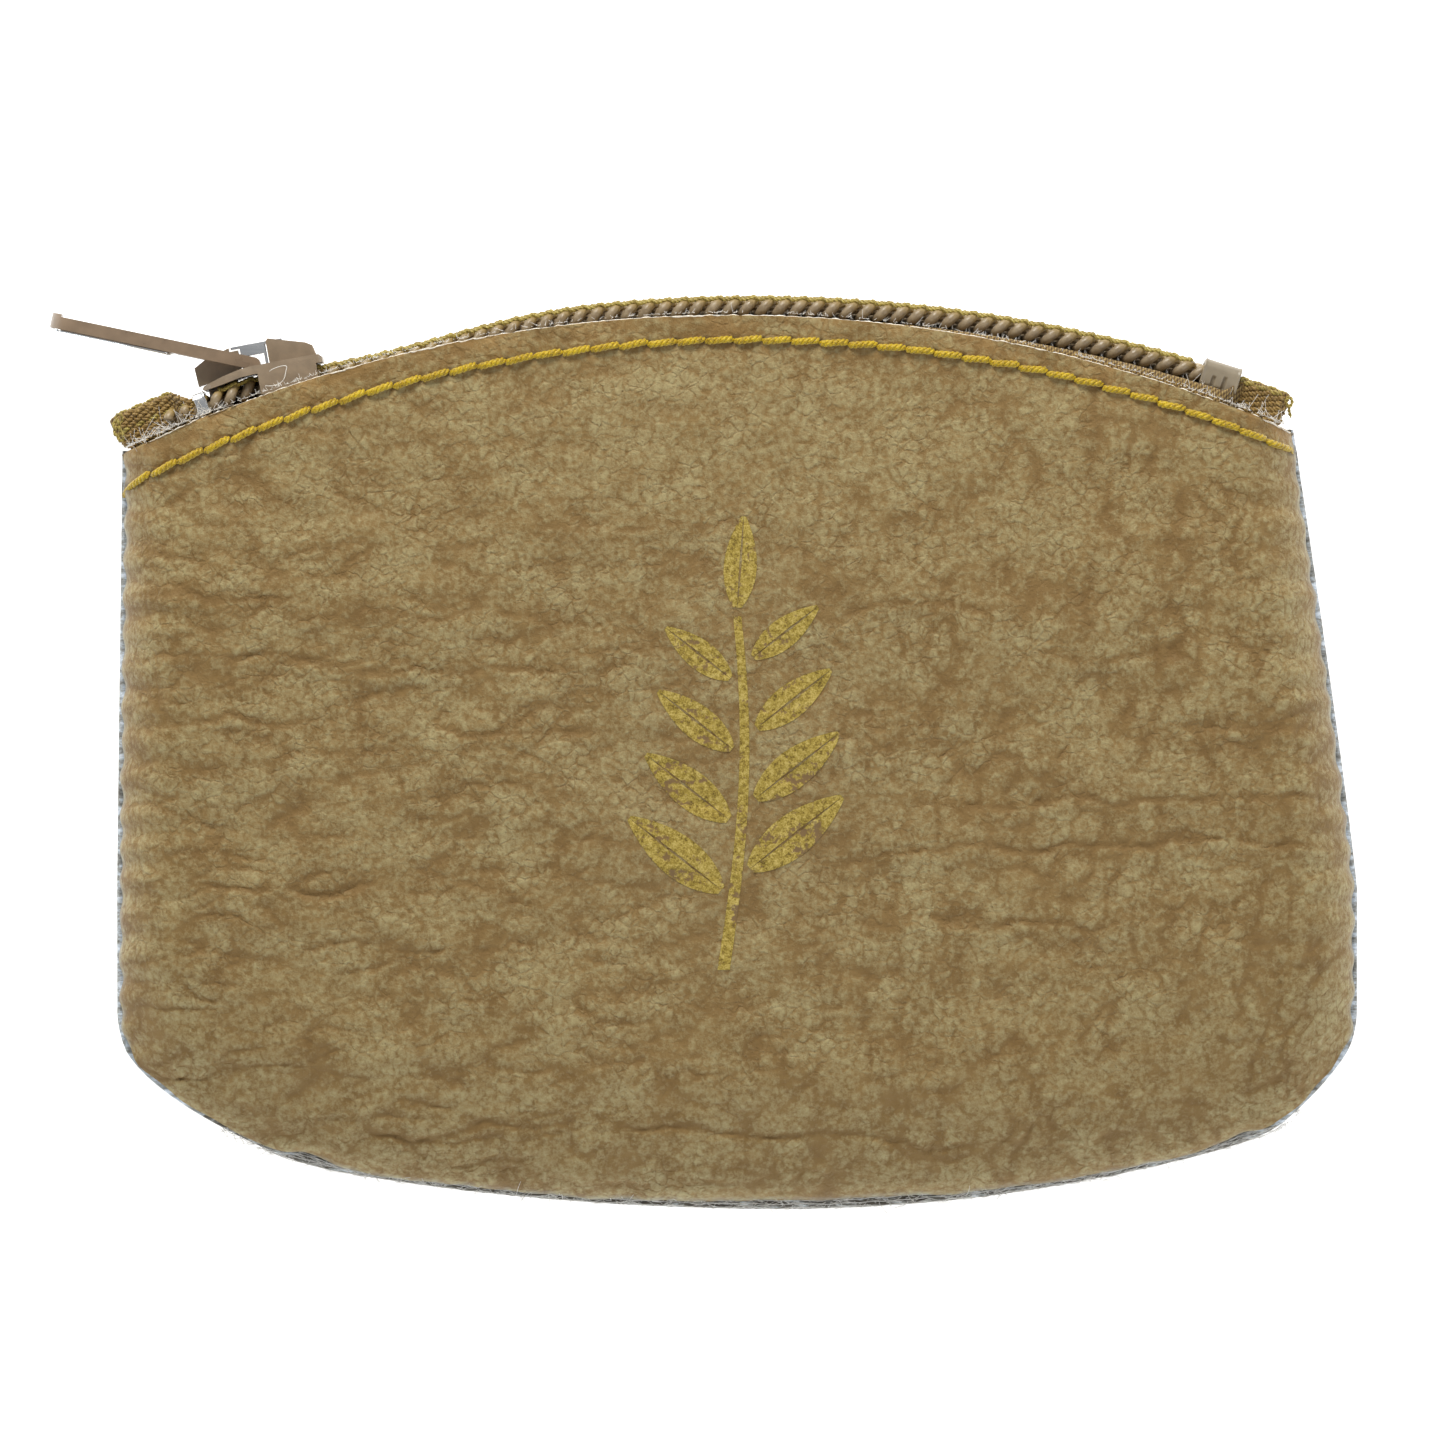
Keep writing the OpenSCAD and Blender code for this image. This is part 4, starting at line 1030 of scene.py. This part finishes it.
def tape_yarns():
    """The gathered ends: yarns bunched along the tape, looping back at the raw end."""
    plain, bright = Tubes(), Tubes()

    def along_tape(side, xs, q, h):
        return np.array([tape_place(a, side, np.array([[b, c]]))[0] for a, b, c in zip(xs, q, h)])

    for side in (1, -1):
        for k in range(13):
            level = -0.56 + 0.245 * k
            x = np.linspace(TAPE_END[0] + 0.15 + 0.35 * rng.rand(), LEFT_X + 7.6 - 0.3 * max(0, k - 4), 80)
            back = ease((TAPE_END[0] + 0.9 - x) / 0.9)
            beat = 2 * np.pi * x / 1.25 + np.pi * (k % 2)
            h = lerp(level, 1.4 + 0.75 * (level - 1.4), back) - 0.5 * ease((x - LEFT_X - 4.6) / 3) * level / 2
            h = h + 0.05 * np.sin(beat)
            q = 2.62 + 0.13 * np.cos(beat) - 0.7 * back - (0.35 if k > 11 else 0)
            yarns = bright if k in (6, 12) else plain
            yarns.twisted(along_tape(side, x, q, h), 2, 0.125, 0.115, 0.8, phase=k)
        for k in range(-5, 8):
            level = -0.95 + 0.25 * k
            x = np.linspace(RIGHT_X - 5.9, TAPE_END[1] - 0.12 - 0.25 * rng.rand(), 60)
            back = ease((x - TAPE_END[1] + 0.9) / 0.9)
            beat = 2 * np.pi * x / 1.25 + np.pi * (k % 2)
            h = lerp(level, 0.75 * level, back) + 0.05 * np.sin(beat)
            q = 2.34 + 0.13 * np.cos(beat) - 0.7 * back - (0.3 if k > 6 else 0)
            yarns = bright if k > 5 else plain
            yarns.twisted(along_tape(side, x, q, h), 2, 0.125, 0.115, 0.8, phase=k)
    ob = plain.make("tape_end_yarns", "root", TAPE)
    # loops of the yarns and the edge thread at both raw ends
    t = np.linspace(0, 1, 40)
    w = 2 * np.pi * t
    c = beside(np.array([chain_angle(TAPE_END[1] - 0.1)]), 1, 1.9, 0.0)[0]
    bright.twisted(c + np.stack([0.10 + 0.26 * np.sin(w), 0.22 + 0.38 * np.cos(w), 0.3 + 0.2 * t], -1),
                   2, 0.09, 0.08, 0.7)
    bright.twisted(c + np.stack([0.12 - 0.25 * t + 0.4 * t * t, -0.1 - 1.0 * t, 0.4 - 0.5 * t], -1),
                   2, 0.09, 0.08, 0.7)
    c = beside(np.array([chain_angle(TAPE_END[0] + 0.45)]), 1, 2.3, 1.35)[0]
    for dx, dy, r in ((0.10, 0.80, 0.42), (-0.12, 0.25, 0.40), (-0.05, -0.35, 0.42), (0.25, -0.85, 0.36)):
        bright.twisted(c + np.stack([dx + 0.6 * r * np.sin(w), dy + r * np.cos(w), 0.15 * np.sin(2 * w)], -1),
                       2, 0.09, 0.08, 0.7)
    ob = bright.make("tape_edge_threads", "root", LIME)


tape_yarns()

# ---------- loose fibres ----------


def fibres():
    """Fibres of the leather's raw edges: at the mouth, by the gathered ends and along the bottom seam."""
    tubes = Tubes()

    def hair(start, direction, length, curl, radius=0.022):
        t = np.linspace(0, 1, 7)[:, None]
        path = start + direction * length * t + rng.normal(0, 1, 3) * curl * t * t
        tubes.add(path, radius * (1 - 0.5 * t[:, 0]), sides=4)

    def bottom_place(x, above):
        y = bottom_y(x) + above
        return np.stack([x, y, SEAM_LOW_Z + SEAM_LIFT + 0 * x], -1)

    # the raw edge at the mouth
    for side in (1, -1):
        for _ in range(1300 if side > 0 else 500):
            x = rng.uniform(LEFT_X + 0.4, RIGHT_X - 0.2)
            thick = float(perlin(np.array([x / 5.0]), np.array([side * 3.0]), 95)[0])
            if rng.rand() > 0.35 + 0.9 * thick + 0.4 * (abs(x) > 30):
                continue
            z = HALF_T + side * (HALF_T - rng.uniform(0.05, 0.6))
            d = np.array([rng.normal(0, 1.0), rng.uniform(0.1, 1.0), side * rng.normal(0.1, 0.25)])
            hair(np.array([x, mouth_y(x) - 0.08, z]), d / np.linalg.norm(d), rng.gamma(2.0, 0.13), 0.10)
    # curly ones between the leather and the tape's gathered ends
    for _ in range(180):
        left = rng.rand() < 0.62
        x = rng.uniform(LEFT_X + 0.5, LEFT_X + 9.0) if left else rng.uniform(RIGHT_X - 9.5, RIGHT_X - 0.5)
        d = np.array([rng.normal(0, 1.0), rng.uniform(0.2, 1.2), rng.normal(0, 0.3)])
        start = np.array([x, mouth_y(x) - 0.05, HALF_T + rng.uniform(3.6, 6.2)])
        hair(start, d / np.linalg.norm(d), rng.gamma(2.4, 0.28), 0.45, 0.026)
    # the bottom seam: long strands lying along it, and a nap of short ones
    for k, (above, r) in enumerate(((0.12, 0.055), (0.46, 0.045), (0.80, 0.040), (1.10, 0.032))):
        for lo, hi in ((-44, -20), (-22, 8), (4, 30), (24, 49)):
            x = np.linspace(lo + 2 * rng.rand(), hi - 2 * rng.rand(), 90)
            lift = np.minimum(above, low_edge(x) + 0.1) + 0.13 * perlin(x / 2.3, 0 * x + 7 * k + lo, 96)
            path = bottom_place(x, lift)
            path[:, 2] += 0.10 * k - 0.1
            tubes.add(path, r * (0.75 + 0.4 * perlin(x / 1.3, 0 * x + k, 97)), sides=5)
    for _ in range(1000):
        x = rng.uniform(-46, 50)
        lift = float(low_edge(np.array([x]))[0])
        slope = float(bottom_y(x + 0.5) - bottom_y(x - 0.5))
        tangent = np.array([1.0, slope, 0.0]) / math.hypot(1, slope)
        start = bottom_place(np.array([x]), rng.uniform(0.0, lift + 0.25))[0]
        start[2] += rng.uniform(-0.1, 0.5)
        d = tangent * rng.choice([-1, 1]) * rng.uniform(0.3, 1) + rng.normal(0, 0.28, 3)
        hair(start, d / np.linalg.norm(d), rng.gamma(2.4, 0.30), 0.20, 0.026)
    # one long curl in front of the slider's side
    w = np.linspace(-0.5, 4.1, 40)
    c = np.array([-40.75, 33.95, 11.6])
    curl = c + np.stack([1.0 * np.sin(w) + 0.15 * np.sin(2.7 * w), 0.9 * np.cos(w - 0.6), 0.1 * w], -1)
    tubes.add(curl, 0.033, sides=5)
    w = np.linspace(0, 1, 20)
    c = np.array([-39.2, 33.3, 11.7])
    tubes.add(c + np.stack([1.1 * w, 0.45 * np.sin(7 * w), 0.1 * w], -1), 0.028, sides=5)
    ob = tubes.make("leather_fibres", "root", FUZZ)


fibres()

# ---------- stops: strips bent over the coils ----------


def bent_clip(name, angle, side, q0, q1, top, wall, length, material, nodes, notches=()):
    """A strip bent over from q0 to q1, with rounded edges and notches cut into its front leg."""
    low, r = -0.8 + 0.05, 0.62
    q0, q1, top = q0 - wall / 2, q1 + wall / 2, top + wall / 2
    turn = np.linspace(0, np.pi / 2, 10)
    path = [np.stack([np.full(16, q1), np.linspace(low, top - r, 16)], -1),
            np.stack([q1 - r + r * np.cos(turn), top - r + r * np.sin(turn)], -1)[1:],
            np.stack([np.linspace(q1 - r, q0 + r, 12), np.full(12, top)], -1)[1:],
            np.stack([q0 + r - r * np.sin(turn), top - r + r * np.cos(turn)], -1)[1:],
            np.stack([np.full(16, q0), np.linspace(top - r, low, 16)], -1)[1:]]
    path = np.concatenate(path)
    t = np.gradient(path, axis=0)
    t /= np.linalg.norm(t, axis=1)[:, None]
    out = np.stack([t[:, 1], -t[:, 0]], -1)
    m = 150
    turn = np.linspace(0, np.pi / 2, 5)
    r2 = min(0.14, 0.45 * wall)
    corner = np.stack([length / 2 - r2 + r2 * np.cos(turn), wall / 2 - r2 + r2 * np.sin(turn)], -1)
    flip_x, flip_y = np.array([-1, 1]), np.array([1, -1])
    outline = resample(np.concatenate([corner, (corner * flip_x)[::-1], -corner, (corner * flip_y)[::-1]]), m)
    cx, cy = outline[:, 0], outline[:, 1]
    rings = []
    n = len(path)
    for i in range(n):
        end = clamp(min(i, n - 1 - i) / 2.0)
        thick = 0.35 + 0.65 * end**0.5
        lift = np.zeros(m)
        height = path[i, 1] - low
        for at, reach in notches:
            if i < n // 3 and height < reach:
                lift -= 0.33 * np.exp(-(((cx - at) / 0.17) ** 4)) * (1 - height / reach) ** 0.3
        # pressed rims along both edges
        rim = 0.07 * np.exp(-(((np.abs(cx) - length / 2 + 0.10) / 0.10) ** 2)) * (cy > 0)
        d = cy * thick + lift * (cy > 0) + rim
        p = path[i] + out[i] * d[:, None]
        ring = beside(np.full(m, angle), side, p[:, 0], p[:, 1])
        rad = math.radians(angle)
        ring[:, 0] += cx * math.cos(rad)
        ring[:, 1] -= cx * math.sin(rad)
        rings.append(ring)
    tubes = Tubes()
    tubes.loft(np.array(rings), flip=side < 0)
    ob = tubes.make(name, "root", material)
    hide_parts(*nodes)


def stops():
    """The bottom stop over both coils, and a top stop over each."""
    top, heel = COIL_MID_H + COIL_H / 2, COIL_MID_Q + COIL_W / 2
    reach = heel + 0.12
    bent_clip("bottom_clip", float(chain_angle(LEFT_X + 97.25)), 1, -reach, reach, top + 0.12, 0.35, 3.4,
              STOP_PAINT, ["bottom_stop"], notches=((-0.55, 1.0), (0.45, 1.15)))
    inside = COIL_MID_Q - COIL_W / 2
    for side, word in ((1, "front"), (-1, "back")):
        angle = -CLOSED - math.degrees(5.45 / CHAIN_R)
        bent_clip(word + "_top_clip", angle, side, inside - 0.06, inside + COIL_W + 0.06, top + 0.06,
                  0.25, 1.1, STEEL, [word + "_top_stop"])


# ---------- metal parts: the CAD's own shapes, edges softened, with finishes ----------


def finish_node(node, material, bevel=0.0, segments=2):
    """Put a material on a CAD node, and round its edges where a bevel is given."""
    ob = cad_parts[node]
    for slot in ob.material_slots:
        slot.link = "OBJECT"
        slot.material = material
    if not ob.material_slots:
        ob.data.materials.append(material)
    if bevel:
        weld = ob.modifiers.new("weld", "WELD")
        weld.merge_threshold = 1e-6
        b = ob.modifiers.new("bevel", "BEVEL")
        b.width, b.segments, b.limit_method, b.angle_limit = bevel * MM, segments, "ANGLE", math.radians(28)
        b.harden_normals = False
        ob.modifiers.new("normals", "WEIGHTED_NORMAL").keep_sharp = True


def pull_underside():
    """The pull's polished underside: a thin plate with rounded ends, raised at its rim."""
    pivot, lean = np.array([-42.8194, 35.1122]), math.radians(180 - 11.8)
    along, down = np.array([math.cos(lean), math.sin(lean)]), np.array([math.sin(lean), -math.cos(lean)])
    down = down if down[1] < 0 else -down
    n, m = 60, 24
    t = np.linspace(0, 1, n)
    from_end = np.minimum(t, 1 - t)
    rounded = (1 - from_end * 16) ** 2 * (from_end < 1 / 16)
    half = 1.95 * np.minimum(1, np.sqrt(np.maximum(0, 1 - rounded)))
    half = np.maximum(half, 0.2) * lerp(0.92, 1.0, t)
    rings = []
    for k in range(n):
        w = 2 * np.pi * np.arange(m) / m
        across = np.sign(np.cos(w)) * np.abs(np.cos(w)) ** 0.5 * half[k]
        thick = 0.17 * np.sign(np.sin(w)) * np.abs(np.sin(w)) ** 0.7
        thick = thick * (1 + 0.35 * np.exp(-(((np.abs(across) - half[k]) / 0.35) ** 2)))
        flat = pivot + along * (7.2 + 11.0 * t[k]) + down * (0.66 + thick)[:, None]
        rings.append(np.column_stack([flat, HALF_T + across]))
    tubes = Tubes()
    tubes.loft(np.array(rings))
    tubes.make("pull_underside", "pull", STEEL)


pull_underside()
finish_node("slider_body", PAINT, 0.11, 3)
finish_node("pull_tab", PULL_PAINT, 0.10, 3)
finish_node("slider_lock_spring", STEEL, 0.04, 2)
stops()
finish_node("front_core_cord", TAN_THREAD)
finish_node("back_core_cord", TAN_THREAD)
finish_node("front_bobbin_thread", GOLD)
finish_node("back_bobbin_thread", GOLD)
finish_node("side_seam_needle_thread", TAN_THREAD)
finish_node("side_seam_bobbin_thread", TAN_THREAD)

# ---------- floor ----------

floor_mesh = bpy.data.meshes.new("floor")
FLOOR_R, FLOOR_Z = 4.0, -0.0003
floor_mesh.from_pydata([(x, y, FLOOR_Z) for x, y in ((-FLOOR_R, -FLOOR_R), (FLOOR_R, -FLOOR_R),
                                                     (FLOOR_R, FLOOR_R), (-FLOOR_R, FLOOR_R))],
                       [], [(0, 1, 2, 3)])
floor = bpy.data.objects.new("floor", floor_mesh)
scene.collection.objects.link(floor)
paper = Nodes("floor_paper", 0.9, base=(0.9, 0.9, 0.9))
paper.shader.inputs["Emission Color"].default_value = (0.96, 0.985, 1.0, 1)
paper.shader.inputs["Emission Strength"].default_value = 0.85
floor_mesh.materials.append(paper.mat)
